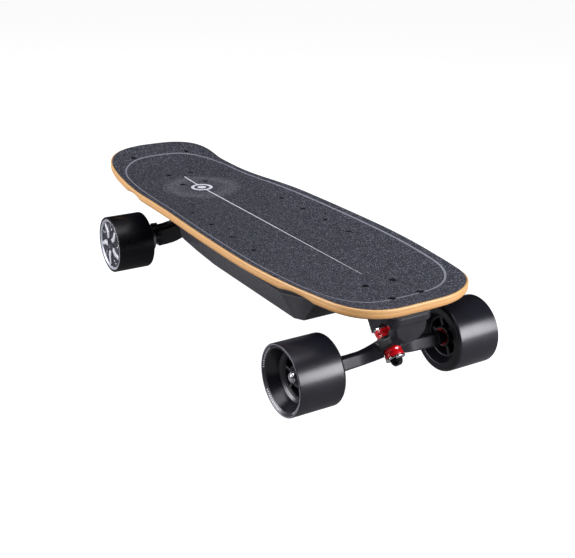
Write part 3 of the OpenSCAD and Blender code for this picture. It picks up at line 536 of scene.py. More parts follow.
# --- Deck and grip tape ---
deck_low, deck_high = cad_box("deck")
NOSE_U = deck_high[0] - MID_X
TAIL_U = MID_X - deck_low[0]
HALF_W = (deck_high[1] - deck_low[1]) / 2
STAND_Z = 131.9
GRIP_T = 1.0
TOP_DEPTH = 1.27
UNDER_DEPTH = 13.27
PLY_T = 12
EDGE_POINTS = 300
WIDEST_U = 90
SIDE_CURVE = (962, 4550)  # radii of the sides ahead of the widest place and behind it
ROCKER_U, KICK_U, NOSE_KICK_U = 215, 334, 247  # where each bend of the standing surface begins
WELL_U, WELL_HALF, WELL_W, WELL_DEPTH = (236, -258), 30, 24, 4


def smoothstep(a, b, u):
    t = np.clip((u - a) / (b - a), 0, 1)
    return t * t * (3 - 2 * t)


def side_w(u):
    return HALF_W - (u - WIDEST_U) ** 2 / 2 / np.where(u > WIDEST_U, *SIDE_CURVE)


def rounded(share, power):
    return np.maximum(0, 1 - np.clip(share, 0, 1) ** power) ** (1 / power)


def half_w(u, inset=0.0, nose=None, tail=None, turns=(60, 60)):
    """Half width of the plan outline, drawn in by inset, and at the ends by nose and tail."""
    nose_end = NOSE_U - (nose or inset)
    tail_end = TAIL_U - (tail or inset)
    front = rounded((u - nose_end) / turns[0] + 1, 3.3)
    back = rounded(1 - (u + tail_end) / turns[1], 3)
    return (side_w(u) - inset) * front * back


def top_z(u, y):
    """Height of the standing surface: rocker, kick tail, slight nose kick and rising rails."""
    centre = STAND_Z + np.maximum(0, abs(u) - ROCKER_U) ** 2 / 3000
    centre = centre + np.maximum(0, -u - KICK_U) ** 2 / 360 + np.maximum(0, u - NOSE_KICK_U) ** 2 / 3400
    rise = 3.85 + 7.45 * smoothstep(-300, -90, u) - 4.5 * smoothstep(250, 350, u)
    across = np.maximum(0, abs(y) - 0.35 * side_w(u)) / 0.65 / side_w(u)
    return centre + rise * across ** 2


def well(u, y):
    """Depth of the wheel wells, ground into the underside's edges."""
    long = np.maximum(*(np.maximum(0, 1 - ((u - middle) / WELL_HALF) ** 2) for middle in WELL_U))
    return WELL_DEPTH * long * np.clip((abs(y) - half_w(u) + WELL_W) / WELL_W, 0, 1)


def edge_walk():
    """Places round the outline, evenly spaced, as angles and sides; both tips come once."""
    s = np.linspace(0, 1, 20001)
    angle = math.pi * s * s * (3 - 2 * s)
    u = (NOSE_U - TAIL_U) / 2 + (NOSE_U + TAIL_U) / 2 * np.cos(angle)
    length = np.concatenate([[0], np.cumsum(np.hypot(np.diff(u), np.diff(half_w(u))))])
    left = np.interp(np.linspace(0, length[-1], EDGE_POINTS + 1), length, angle)
    left[0], left[-1] = 0, math.pi
    angles = np.concatenate([left, left[-2:0:-1]])
    sides = np.concatenate([np.ones(EDGE_POINTS + 1), -np.ones(EDGE_POINTS - 1)])
    return angles, sides


EDGE_ANGLE, EDGE_SIDE = edge_walk()


def edge_line(inset, nose=None, tail=None, turns=(60, 60)):
    """Plan outline drawn in by inset: u and y of every edge point."""
    front = NOSE_U - (nose or inset)
    back = TAIL_U - (tail or inset)
    u = (front - back) / 2 + (front + back) / 2 * np.cos(EDGE_ANGLE)
    return u, EDGE_SIDE * half_w(u, inset, nose, tail, turns)


def drawn_in(line, share):
    """An outline moved a share of the way to the board's spine."""
    u, y = line
    foot = np.clip(u, -TAIL_U + 112, NOSE_U - 105)
    return u * (1 - share) + foot * share, y * (1 - share)


def sheet(rings):
    """Closed skin through rings of (u, y, z), from the top's spine round the edge to the bottom's."""
    points = [np.array([u + MID_X, y, z]) for ring in rings for u, y, z in zip(*ring)]
    return points, band(len(rings), len(EDGE_ANGLE))


def upper(line, depth):
    u, y = line
    return u, y, top_z(u, y) - depth


def lower(line, lift):
    u, y = line
    return u, y, top_z(u, y) - UNDER_DEPTH + well(u, y) + lift


def deck_holes():
    """Countersunk holes for the truck bolts and the screws."""
    holes = []
    tail_screws_u = -387
    tilt = math.atan((-tail_screws_u - ROCKER_U) / 1500 + (-tail_screws_u - KICK_U) / 180)
    for node, shank, head in (("truck_bolts", 2.8, 4.7), ("deck_screws", 2.3, 4.0)):
        for low, high in solids_of(node):
            x, y, _ = (low + high) / 2
            axis = Z
            if x < MID_X - 350:
                x = MID_X + tail_screws_u
                axis = np.array([math.sin(tilt), 0, math.cos(tilt)])
            top = (x, y, float(top_z(x - MID_X, y)))
            outline = [(0, -30), (shank, -30), (shank, -3.5), (head, -3.1), (head, 6), (0, 6)]
            holes.append(lathe(outline, top, axis, 40))
    return holes


def build_deck():
    inner = np.linspace(0, 1, 15)
    round_top, round_low = 1.8, 3.6
    rings, level = [], []
    edge = edge_line(round_top)
    for share in inner[:0:-1]:
        rings.append(upper(drawn_in(edge, share), TOP_DEPTH))
        level.append(0)
    for k in range(6):
        a = math.radians(90 * k / 5)
        line = edge_line(round_top * (1 - math.sin(a)))
        rings.append(upper(line, TOP_DEPTH + round_top * (1 - math.cos(a))))
        level.append(round_top * (1 - math.cos(a)))
    u, y = edge_line(0)
    upper_edge = top_z(u, y) - TOP_DEPTH - round_top
    lower_edge = lower((u, y), round_low)[2]
    for share in (0.25, 0.5, 0.75, 1):
        rings.append((u, y, upper_edge * (1 - share) + lower_edge * share))
        level.append(round_top + (PLY_T - round_top - round_low) * share)
    for k in range(1, 7):
        a = math.radians(90 * k / 6)
        rings.append(lower(edge_line(round_low * (1 - math.cos(a))), round_low * (1 - math.sin(a))))
        level.append(PLY_T - round_low * (1 - math.sin(a)))
    edge = edge_line(round_low)
    for share in (0.03, 0.08, 0.14, 0.2, 0.26, 0.33, 0.4, 0.5, 0.6, 0.7, 0.8, 0.9, 1):
        rings.append(lower(drawn_in(edge, share), 0))
        level.append(PLY_T)
    board = make("deck_board", [sheet(rings)], ply_finish(),
                 values=np.repeat(level, len(EDGE_ANGLE)))
    combine(board, deck_holes(), "DIFFERENCE")
    return put(board, "board", "ply", "deck")


def centre_marks(f):
    """A tapering line along the middle, with a plain ring and dot on it, in a faint round tint."""
    x, y = f.axis("X"), f.axis("Y")
    ring_x = (MID_X - 226) * MM
    nose_end = (MID_X + 219) * MM
    tail_end = (MID_X - 290) * MM
    width = f.between(x, ring_x, nose_end, 1.15 * MM, 0.3 * MM)
    line = f.below(f.math("ABSOLUTE", y), width)
    line = f.times(line, f.above(x, tail_end))
    line = f.times(line, f.below(x, nose_end))
    middle = f.hypot(f.math("SUBTRACT", x, ring_x), y)
    ring = f.below(f.math("ABSOLUTE", f.math("SUBTRACT", middle, 15 * MM)), 2.6 * MM)
    dot = f.below(middle, 7 * MM)
    inside = f.below(middle, 17.6 * MM)
    line = f.times(line, f.math("SUBTRACT", 1, inside))
    ink = f.math("MAXIMUM", line, f.math("MAXIMUM", ring, dot))
    inner = f.between(middle, 17 * MM, 50 * MM)
    halo = f.times(inner, f.between(middle, 50 * MM, 66 * MM, 0.06, 0))
    share = f.math("MAXIMUM", f.times(ink, 0.85), halo)
    return share, (0.80, 0.80, 0.86)


def pale_line(f):
    return f.times(f.between(f.noise(300, 3), 0.3, 0.6, 0.75, 1), 0.8), (0.29, 0.29, 0.34)


def build_grip():
    rim = 2.2
    soft = 0.35
    edge = edge_line(rim + soft)
    outer = edge_line(10.6, 29.0, 29.4, (92, 100))
    inner_line = edge_line(13.0, 31.4, 31.8, (90, 98))
    rings = [upper(drawn_in(inner_line, share), 0) for share in np.linspace(1, 0, 17)]
    printed_ring = len(rings) - 1
    for share in (1, 0.66, 0.33, 0):
        rings.append(upper([a * share + b * (1 - share) for a, b in zip(outer, edge)], 0))
    for inset, depth in ((rim + soft * 0.3, soft * 0.3), (rim, soft), (rim, GRIP_T)):
        rings.append(upper(edge_line(inset), depth))
    rings += [upper(drawn_in(edge_line(rim), share), GRIP_T) for share in np.linspace(0.05, 1, 14)]
    count = len(EDGE_ANGLE)
    slots = np.zeros((len(rings) - 1) * count, int)
    slots[printed_ring * count:(printed_ring + 1) * count] = 1
    tape = make("grip_sheet", [sheet(rings)], grit("grip", centre_marks), grit("grip_line", pale_line),
                slots=slots)
    combine(tape, deck_holes(), "DIFFERENCE")
    return put(tape, "board", "grip", "grip_tape")


build_deck()
build_grip()


# --- Front wheels ---
def radius_share(f, centre, low, high, soften=0.25):
    """1 where a wheel's radius is between low and high millimetres, and the angle round the axle."""
    x = f.math("SUBTRACT", f.axis("X"), centre[0] * MM)
    z = f.math("SUBTRACT", f.axis("Z"), centre[2] * MM)
    r = f.hypot(x, z)
    inside = f.between(r, (low - soften) * MM, (low + soften) * MM)
    outside = f.between(r, (high - soften) * MM, (high + soften) * MM, 1, 0)
    return f.times(inside, outside), f.math("ARCTAN2", z, x)


def tyre_finish():
    """Satin urethane with a faint turned texture, a fine tick scale printed on the lip and a painted
    highlight ring along the lip's outer edge.
    """
    f = Finish("wheel_urethane", 0.3, 0, 0.5)
    centre = AXLE[FRONT]
    base = f.ramp(f.noise(30, 4), 0.35, 0.65, (0.005, 0.005, 0.008), (0.008, 0.008, 0.012))
    scale, angle = radius_share(f, centre, 40.1, 41.9, 0.12)
    turns = f.math("DIVIDE", angle, 2 * math.pi)
    ticks = f.above(f.math("FRACT", f.times(turns, 90)), 0.62)
    groups = f.above(f.math("FRACT", f.times(turns, 4)), 0.42)
    lip_y = cad_box("front_left_tyre")[1][1] - 4
    lip = f.above(f.math("ABSOLUTE", f.axis("Y")), lip_y * MM)
    ink = f.times(scale, ticks, groups, lip)
    base = f.mix(f.times(ink, 0.85), base, (0.60, 0.60, 0.65))
    # Painted highlight: a pale ring on the lip's rounded outer edge, where the edge catches the light.
    rim, _ = radius_share(f, centre, 43.2, 43.8, 0.15)
    rim = f.times(rim, lip, 0.8)
    f.colour(f.mix(rim, base, (0.30, 0.30, 0.34)))
    f.uneven(f.noise(90, 4), 0.28, 0.31)
    f.bump(f.noise(500, 3, 0.6, f.stretched(0.15, 1, 0.15)), 0.006)
    return f.material


def tread_size(node):
    """How far a tyre's inner and outer faces lie from the board's middle, and its radius."""
    low, high = cad_box(node)
    return min(abs(low[1]), abs(high[1])), max(abs(low[1]), abs(high[1])), (high[2] - low[2]) / 2


def build_front_wheels():
    urethane = tyre_finish()
    nylon = moulded("core_plastic", (0.008, 0.008, 0.010), 0.36, 700, 0.05).material
    for side in (LEFT, RIGHT):
        name = "front_" + SIDE_NAME[side]
        body = name + "_wheel"
        start, end, tread_r = tread_size(name + "_tyre")
        centre = AXLE[FRONT] * [1, 0, 1]
        outline = [
            (27.2, 95.2), (30.4, start + 4.2), (33.4, start), (tread_r, start),
            (tread_r, end), (43.3, end), (38.4, end - 2.6), (36.6, end - 6), (32.6, end - 14), (31.2, 131.5),
            (27.2, 128.8),
        ]
        radii = [0.3, 1.5, 1.2, 6.5, 1.0, 0.5, 0.7, 1.2, 5, 1.2, 0.3]
        tyre = make(name + "_tread", [lathe(fillet(outline, radii, 8), centre, Y * side, 192)], urethane)
        put(tyre, body, "wheel_urethane", name + "_tyre")
        rim = lathe(fillet([(24.4, 95.5), (27.1, 95.5), (27.1, 128.5), (25.6, 128.5), (24.4, 126.5)], 0.5, 3),
                    centre, Y * side, 128)
        hub = fillet([
            (11.05, 93), (13.2, 93), (14.0, 98), (14.0, 122), (13.4, 128), (11.05, 128), (11.05, 121),
            (9.6, 120.6), (9.6, 100.4), (11.05, 100),
        ], [0.4, 0.8, 2, 2, 0.9, 0.4, 0, 0, 0, 0], 3)
        core = make(name + "_hub", [rim, lathe(hub, centre, Y * side, 128)], nylon)
        spokes = []
        for i in range(6):
            a = math.radians(60 * i - 5)
            out = np.array([math.cos(a), 0, math.sin(a)])
            across = np.array([-math.sin(a), 0, math.cos(a)])
            section = fillet([(98, -2.6), (127, -2.0), (127, 2.0), (98, 2.6)], 0.8, 3)
            spokes.append(loft([
                [centre + out * r + Y * side * p[0] + across * p[1] for p in section] for r in (12.6, 25.4)
            ]))
        combine(core, spokes, "UNION")
        put(core, body, "core_plastic", name + "_core")


build_front_wheels()


# --- Hub motors ---
def cover_finish():
    """Cast metal, speckled grey with bright flecks."""
    f = Finish("cover_metal", 0.42, 1)
    specks = f.noise(900, 3, 0.75)
    flecks = f.axis("X", f.cells(1500, output="Color"))
    base = f.ramp(specks, 0.38, 0.62, (0.022, 0.022, 0.027), (0.085, 0.085, 0.098))
    base = f.ramp(flecks, 0.90, 0.97, base, (0.40, 0.40, 0.44), 0.45)
    f.colour(base)
    f.uneven(specks, 0.35, 0.6)
    f.bump(specks, 0.12)
    return f.material


def silver(name, colour):
    """Silver lacquer over machined metal."""
    f = metal(name, colour, 0.34, (0.2, 1, 1), 0.003, 0.08)
    f.set("Metallic", 0.35)
    return f.material


CAN_END = 139
COVER_FLOOR = 142.6
CAP_TOP = 143.6
BLADE_FOOT = COVER_FLOOR - 0.3


def build_motors():
    rubber = moulded("sleeve_rubber", (0.0032, 0.0032, 0.0050), 0.33, 900, 0.008, 0.32).material
    cast_metal = cover_finish()
    satin = silver("satin_rim", (0.36, 0.37, 0.42))
    polished_and_painted_highlight = silver("blade_silver_and_painted_highlight", (0.66, 0.66, 0.70))
    for side in (LEFT, RIGHT):
        name = "rear_" + SIDE_NAME[side]
        body = name + "_motor"
        start, end, tread_r = tread_size(name + "_sleeve")
        centre = AXLE[REAR] * [1, 0, 1]
        axis = Y * side
        outline = [(34.55, start + 1.6), (35.6, start), (tread_r, start), (tread_r, end),
                   (41.7, end), (41.1, end - 0.8), (41.1, CAN_END), (34.55, CAN_END)]
        outline = fillet(outline, [0.3, 0.5, 9, 1.3, 0.4, 0.2, 0, 0], 8)
        tyre = make(name + "_band", [lathe(outline, centre, axis, 192)], rubber)
        put(tyre, body, "wheel_urethane", name + "_sleeve")
        top = end - 0.3
        disc = fillet([
            (12.03, CAN_END - 7), (15, CAN_END - 7), (15, CAN_END + 0.03), (41, CAN_END + 0.03),
            (41, top), (40.3, top), (37.2, top - 1.7), (36.6, COVER_FLOOR), (12.4, COVER_FLOOR),
            (11.0, top - 0.6), (7.2, top - 0.6), (6.2, CAP_TOP), (0, CAP_TOP),
            (0, CAN_END + 0.6), (9.5, CAN_END + 0.6), (9.5, CAN_END - 1), (12.03, CAN_END - 1),
        ], [0, 0.5, 0, 0, 0.3, 0.3, 0.3, 0.4, 0.8, 0.6, 0.5, 0.5, 0, 0, 0, 0, 0], 4)
        cover = make(name + "_cap", [lathe(disc, centre, axis, 160)], cast_metal, polished_and_painted_highlight, satin)
        # Faces of the cap's top beyond 40.2 mm get the bright blade silver as a thin ring, a painted
        # highlight on the cap's edge; faces from 37 to 40.2 mm get the satin rim.
        for face in cover.data.polygons:
            away = np.array(face.center) / MM - centre
            reach = math.hypot(away[0], away[2])
            if abs(away[1]) > top - 1.9 and reach > 37.0:
                face.material_index = 1 if reach > 40.2 else 2
        put(cover, body, "cover_metal", name + "_cover")
        blades = []
        for i in range(5):
            a = math.radians(11.6 + 72 * i)
            out = np.array([-math.cos(a), 0, -math.sin(a)])
            across = np.array([math.sin(a), 0, -math.cos(a)])
            shape = [(11.2, -3.3), (20, -6.8), (36.4, -1.2), (33.4, 3.2), (21, 0.9), (11.2, 3.2)]
            blades.append(prism(shape, centre, out, across, axis, BLADE_FOOT, top - 0.4))
            b = a + math.radians(30)
            stud = centre - np.array([math.cos(b), 0, math.sin(b)]) * 27.5
            blades.append(ring_solid(1.5, 0, BLADE_FOOT, CAP_TOP, stud, axis, 0.4, 24))
        star = make(name + "_blades", blades, polished_and_painted_highlight)
        bevel(star, 0.45, 2)
        put(star, body, "cover_metal")


build_motors()


# --- Trucks ---
def truck_place(end, out, y, z):
    """A point given by its distance outboard of the ring's centre."""
    return np.array([RING[end][0] + end * out, y, z])


def kingpin_axis(end):
    return unit([end, 0, -1])


def pivot_axis(end):
    return unit([end, 0, 1])


def paint_finish():
    """Black satin paint over a casting, slightly uneven, with lighter edges: partly rubbed paint, partly a
    painted highlight that is strongest below 108 mm.
    """
    f = Finish("cast_black", 0.34, 0, 0.3)
    base = f.ramp(f.noise(45, 4), 0.35, 0.65, (0.011, 0.011, 0.014), (0.017, 0.017, 0.021))
    sharp = f.node("NewGeometry").outputs["Pointiness"]
    # Lighter sharp edges in patches: partly edge wear, partly a painted highlight.
    wear_and_painted_edge_highlight = f.times(f.between(sharp, 0.53, 0.60), f.between(f.noise(220, 4), 0.45, 0.6))
    # Painted highlight: the lighter edges fade to a fifth above 113 mm, so they show mostly along the lower
    # edges, where the light catches them.
    wear_and_painted_edge_highlight = f.times(wear_and_painted_edge_highlight, f.between(f.axis("Z"), 108 * MM, 113 * MM, 1, 0.2))
    f.colour(f.mix(f.times(wear_and_painted_edge_highlight, 0.6), base, (0.24, 0.24, 0.26)))
    f.uneven(f.noise(130, 4), 0.36, 0.40)
    f.bump(f.noise(520, 3, 0.6), 0.006)
    return f.material


def urethane_finish():
    """Clear red urethane with cloudy depths."""
    f = Finish("red_urethane", 0.16, 0, 0.5)
    cloud = f.noise(240, 4, 0.6)
    f.colour(f.ramp(cloud, 0.35, 0.65, (0.75, 0.010, 0.018), (0.42, 0.004, 0.010)))
    f.set("Subsurface Weight", 0.35)
    f.set("Subsurface Radius", (0.004, 0.0006, 0.0006))
    f.set("Subsurface Scale", 1.0)
    f.set("Coat Weight", 0.5)
    f.set("Coat Roughness", 0.08)
    f.uneven(f.noise(120, 3), 0.12, 0.22)
    f.bump(cloud, 0.03)
    return f.material


def eased(y, *places):
    """A height or reach along the arm, straight between places (y, value), with eased corners."""
    near = abs(y) + np.linspace(-8, 8, 17)
    return float(np.mean(np.interp(abs(near), [p[0] for p in places], [p[1] for p in places])))


def hanger_solids(end, boss_end, boss_r):
    """The ring, the pivot stem, arms that sweep up to the stem, a web beside the ring, axle bosses."""
    centre = RING[end]
    down, up = kingpin_axis(end), pivot_axis(end)
    low, high, waist, shoulder = (37, 53, 48, 55) if end == FRONT else (29, 57.6, 34, 61)
    solids = [
        ring_solid(17, 0, -7.5, 7.5, centre, down, 1.2),
        ring_solid(9, 0, 14, 24, centre, up, 1.5),
        ring_solid(7, 0, 14, 41, centre, up, 3.0),
    ]
    rings = []
    reach = 86 if end == FRONT else 61.9
    for y in np.linspace(-reach, reach, 87):
        top = eased(y, (0, 73), (12, 67), (34, shoulder), (62, high))
        bottom = eased(y, (0, waist + 6), (12, waist), (34, low + 0.27 * (waist - low)), (62, low))
        front = eased(y, (0, 13), (12, 8), (34, -1), (56, -3))
        back = eased(y, (0, -9), (12, -9), (34, -16), (63, -18))
        section = fillet([
            (back + 1, bottom + 1), (front - 1.5, bottom), (front + 0.4, bottom + 2.0),
            (front - 4.0, top - 1.2), (front - 5.4, top), (back + 2, top), (back, top - 3),
            (back, bottom + 3),
        ], 0.8, 3)
        rings.append([truck_place(end, x, y, z) for x, z in section])
    solids.append(loft(rings))
    web = [(-20, -17), (20, -17), (17, 3), (9, 20), (-9, 20), (-17, 3)]
    solids.append(prism(web, centre, Y, up, down, -3.5, 6.5))
    axle = truck_place(end, -AXLE_BACK, 0, AXLE[end][2])
    for side in (LEFT, RIGHT):
        solids.append(ring_solid(boss_r, 0, reach - 4, boss_end, axle, Y * side, 1.0))
    return solids


def build_hangers(paint):
    for end, boss_end, boss_r, bore in ((FRONT, 92, 9.2, 4.05), (REAR, 73, 10.5, 7.55)):
        name = END_NAME[end]
        hanger = make(name + "_arm_casting", hanger_solids(end, boss_end, boss_r), paint)
        cast(hanger, 0.7, 5)
        centre, down = RING[end], kingpin_axis(end)
        axle = truck_place(end, -AXLE_BACK, 0, AXLE[end][2])
        cuts = [
            [ring_solid(13.0, 0, 5, 45, centre, down, 0), ring_solid(13.0, 0, -45, -5, centre, down, 0)],
            [ring_solid(7.6, 0, -20, 20, centre, down, 0)],
        ]
        for turn in (-14.6, 14.6):  # room beside the washers at full steer
            lean = unit(down * math.cos(math.radians(turn)) + Y * math.sin(math.radians(turn)))
            cuts += [[ring_solid(13.6, 0, 17.3, 24.7, centre, lean * way, 0, 70)] for way in (-1, 1)]
        bore_from = -1 if end == FRONT else 61
        cuts += [[ring_solid(bore, 0, bore_from, 120, axle, Y * side, 0)] for side in (LEFT, RIGHT)]
        for tools in cuts:
            combine(hanger, tools, "DIFFERENCE", 50)
        put(hanger, name + "_axle_unit", "cast_black", name + "_hanger")


def build_baseplates(paint):
    for end in (FRONT, REAR):
        node = END_NAME[end] + "_baseplate"
        plate = add_object(node + "_casting", NODES[node].data.copy())
        plate.data.materials.clear()
        plate.data.materials.append(paint)
        join = plate.modifiers.new("join", "WELD")
        join.merge_threshold = WELD
        cast(plate, 0.8, 4)
        put(plate, "board", "cast_black", node)


SEAT, CUP_FACE = 5, 18.5  # a bushing's two ends, measured along the kingpin from the ring's centre
NUT_FACE = 20.95


def build_bushings():
    urethane = urethane_finish()
    chrome = metal("chrome_washer", (0.88, 0.88, 0.90), 0.12, (1, 1, 1), 0.002, 0.06).material
    washers, nuts = [], []
    for end in (FRONT, REAR):
        centre, down = RING[end], kingpin_axis(end)
        for way, label in ((-1, "boardside"), (1, "roadside")):
            outline = [(5.1, SEAT), (12, SEAT), (12, 9.6), (10.9, 11.75), (12, 13.9), (12, CUP_FACE),
                       (5.1, CUP_FACE)]
            solid = lathe(fillet(outline, [0, 0.9, 0.6, 1.6, 0.6, 0.9, 0], 5), centre, down * way, 96)
            piece = make(f"{END_NAME[end]}_{label}_urethane", [solid], urethane)
            grown = piece.modifiers.new("finer", "SUBSURF")
            grown.subdivision_type = "SIMPLE"
            settle(piece)
            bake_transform(piece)
            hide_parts(f"{END_NAME[end]}_{label}_bushing")
            cup = [(5.1, CUP_FACE), (12.0, CUP_FACE), (12.6, 18.9), (12.6, 20.9), (5.1, 20.9)]
            washers.append(lathe(fillet(cup, [0.2, 0.2, 0.4, 0.7, 0.3], 4), centre, down * way, 96))
        nuts.append(hexagon_nut(centre + down * NUT_FACE, down, 7.19, 5.05, 4.4))
        nuts.append(ring_solid(6.6, 5.05, 4.2, 6.5, centre + down * NUT_FACE, down, 0.5))
    put(make("cupped_washers", washers, chrome), "board", "chrome_washer", "bushing_washers")
    return nuts


def black_nuts(kingpin_nuts):
    steel = metal("black_steel", (0.045, 0.045, 0.05), 0.24, (1, 1, 1), 0.004, 0.3)
    put(make("kingpin_lock_nuts", kingpin_nuts, steel.material), "board", "black_steel", "kingpin_nuts")
    nuts = []
    for low, high in solids_of("truck_nuts"):
        middle = (low + high) / 2
        nuts.append(hexagon_nut([middle[0], middle[1], high[2]], -Z, 3.98, 2.55, high[2] - low[2]))
    put(make("plate_lock_nuts", nuts, steel.material), "board", "black_steel", "truck_nuts")
    return steel


def axle_nuts():
    steel = metal("bright_steel", (0.70, 0.70, 0.72), 0.22, (1, 1, 1), 0.004, 0.15)
    nuts = []
    for low, high in solids_of("front_axle_nuts"):
        side = 1 if low[1] > 0 else -1
        start = min(abs(low[1]), abs(high[1]))
        centre = AXLE[FRONT] * [1, 0, 1]
        nuts.append(hexagon_nut(centre + Y * side * start, Y * side, 6.3, 4.05, 4.4))
        nuts.append(ring_solid(5.7, 4.05, start + 4.2, start + 6, centre, Y * side, 0.5))
    nuts = make("front_axle_lock_nuts", nuts, steel.material)
    put(nuts, "front_axle_unit", "bright_steel", "front_axle_nuts")
    return steel


cast_paint = paint_finish()
build_hangers(cast_paint)
build_baseplates(cast_paint)
black_steel = black_nuts(build_bushings())
bright_steel = axle_nuts()


# --- Motor cables ---
def braid_finish():
    """Black braided sleeve: crossing strands, slightly glossy."""
    f = Finish("braid", 0.5, 0, 0.45)
    weave = f.cells(700)
    f.colour(f.ramp(weave, 0.1, 0.6, (0.018, 0.018, 0.021), (0.004, 0.004, 0.005)))
    f.uneven(f.noise(200, 3), 0.4, 0.6)
    f.bump(f.between(weave, 0, 0.7, 1, 0), 0.25)
    return f.material


def build_cables():
    arm_z = 61.6
    reach = [(-AXLE_BACK + 1, 73, arm_z), (-AXLE_BACK + 1, 57, arm_z), (-AXLE_BACK - 2, 42, arm_z + 3.4),
             (-32, 30, 76), (-84, 24, 98), (-122, 22, 106)]

    def surface(s, a):
        coil = 0.42 * math.cos(2 * a - 2 * math.pi * s / 9) * math.cos(2 * a + 2 * math.pi * s / 9)
        strand = 0.10 * math.cos(10 * a - 2 * math.pi * s / 4.5) * math.cos(10 * a + 2 * math.pi * s / 4.5)
        return 4.1 + coil + strand

    hoses = []
    for side in (LEFT, RIGHT):
        path = spline([truck_place(REAR, x, y * side, z) for x, y, z in reach])
        hoses.append(hose(path, surface, 0.9, 40))
    cables = make("motor_cable_sleeves", hoses, braid_finish(), sharp=60)
    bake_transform(cables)
    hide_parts("motor_cables")
    nylon = moulded("tie_nylon", (0.012, 0.012, 0.013), 0.4, 900, 0.02).material
    ties = []
    for low, high in solids_of("cable_ties"):
        middle = (low + high) / 2
        ties.append(ring_solid(5.75, 4.7, -1.25, 1.25, middle, Y, 0.35, 64))
        ties.append(prism(fillet([(-1.8, -2), (1.8, -2), (1.8, 1.4), (-1.8, 1.4)], 0.5, 3),
                          middle + Z * 5.6, X, Z, Y, -1.7, 1.7))
    put(make("cable_tie_bands", ties, nylon), "rear_axle_unit", "tie_nylon", "cable_ties")


build_cables()


# --- CAD nodes whose shape is right: softened edges and a finish ---
def dress_all(finish, **edges):
    """Gives CAD nodes a finish and, through modifiers only, softened edges of the given widths."""
    for node, width in edges.items():
        piece = NODES[node]
        piece.data.materials.clear()
        piece.data.materials.append(finish.material)
        join = piece.modifiers.new("join", "WELD")
        join.merge_threshold = WELD
        flat = piece.modifiers.new("flat", "DECIMATE")
        flat.decimate_type = "DISSOLVE"
        flat.angle_limit = math.radians(1)
        soft = piece.modifiers.new("soft", "BEVEL")
        soft.width = width * MM
        soft.segments = 2
        soft.limit_method = "ANGLE"
        soft.angle_limit = math.radians(35)
        shade = piece.modifiers.new("shade", "WEIGHTED_NORMAL")
        shade.keep_sharp = False
        shade.weight = 100


def shell_finish():
    """Dark grey satin plastic with a fine skin, a painted highlight line along the rim and painted shade,
    near black, on the wall above it.
    """
    f = moulded("shell_plastic", (0.030, 0.030, 0.035), 0.30, 800, 0.003, 0.6, 0.05)
    height = f.axis("Z")
    skin = f.skin.inputs["Base Color"].links[0].from_socket
    # Painted highlight: a pale line along the shoulder, just under 102.5 mm, where its edge catches the
    # light.
    skin = f.ramp(height, 101.5 * MM, 101.8 * MM, skin, (0.11, 0.11, 0.13))
    # Painted shade: near black on the wall from 102.5 mm up, which lies in the deck's shadow.
    f.colour(f.ramp(height, 102.2 * MM, 102.5 * MM, skin, (0.004, 0.004, 0.005)))
    return f


def two_shields():
    """Red seals on the inboard bearings of the front wheels, dark ones on the outboard bearings."""
    f = metal("red_bearing", (0.50, 0.03, 0.035), 0.3, (0.3, 1, 0.3))
    between_bearings_y = 112
    outboard = f.above(f.math("ABSOLUTE", f.axis("Y")), between_bearings_y * MM)
    red = f.skin.inputs["Base Color"].links[0].from_socket
    f.colour(f.mix(outboard, red, (0.05, 0.05, 0.055)))
    return f


def board_finish():
    """Green solder resist with copper tracks and pads."""
    f = Finish("circuit_board", 0.3, 0, 0.5)
    tracks = f.math("FRACT", f.times(f.axis("Y"), 420))
    lanes = f.above(f.noise(70, 1), 0.5)
    line = f.times(f.above(tracks, 0.6), lanes)
    pads = f.below(f.cells(260), 0.16)
    base = f.mix(line, (0.008, 0.085, 0.030), (0.02, 0.19, 0.07))
    f.colour(f.mix(pads, base, (0.55, 0.50, 0.40)))
    f.uneven(f.noise(200, 3), 0.22, 0.4)
    f.bump(f.math("ADD", line, pads), 0.05)
    return f


dress_all(shell_finish(), enclosure_shell=0.9)
dress_all(moulded("black_rubber", (0.016, 0.016, 0.017), 0.6, 600, 0.08),
          enclosure_gasket=0.1, tail_pad=0.9, riser_pads=0.6, pivot_cups=0.4, charge_port_cover=0.45)
dress_all(metal("bolt_black", (0.040, 0.040, 0.046), 0.42, (1, 1, 1), 0.004, 0.3),
          truck_bolts=0.25, deck_screws=0.2)
dress_all(black_steel, kingpins=0.4)
dress_all(bright_steel, front_axle=0.5, front_speed_rings=0.15, front_spacers=0.2, front_inner_races=0.2,
          motor_inner_races=0.2, rear_left_screws=0.2, rear_right_screws=0.2)
dress_all(two_shields(), front_left_bearings=0.1, front_right_bearings=0.1)
dress_all(moulded("cell_wrap", (0.03, 0.15, 0.36), 0.3, 300, 0.02), battery_cells=0.8)
dress_all(metal("nickel", (0.62, 0.61, 0.56), 0.25, (0.1, 1, 1)), battery_strips=0.05)
dress_all(moulded("holder_plastic", (0.02, 0.02, 0.02), 0.5), cell_holders=0.2)
dress_all(board_finish(), bms_board=0.15, motor_controller=0.15)
dress_all(moulded("red_lead", (0.45, 0.012, 0.012), 0.45, 400, 0.03), power_harness=0.1)
dress_all(moulded("socket_plastic", (0.012, 0.012, 0.013), 0.4), charge_socket=0.2)
dress_all(metal("bezel_metal", (0.80, 0.80, 0.83), 0.14, (1, 0.2, 1), 0.003), button_bezel=0.3)
dress_all(moulded("button_red", (0.55, 0.015, 0.015), 0.28, 900, 0.01), power_button=0.6)
dress_all(metal("flange_metal", (0.34, 0.34, 0.37), 0.38, (1, 0.2, 1)), motor_shafts=0.4)
dress_all(metal("lamination", (0.30, 0.31, 0.34), 0.4, (0.05, 4, 0.05), 0.02), motor_stators=0.1)
dress_all(metal("copper", (0.72, 0.30, 0.10), 0.3, (1, 0.1, 1), 0.02), motor_windings=0.3)
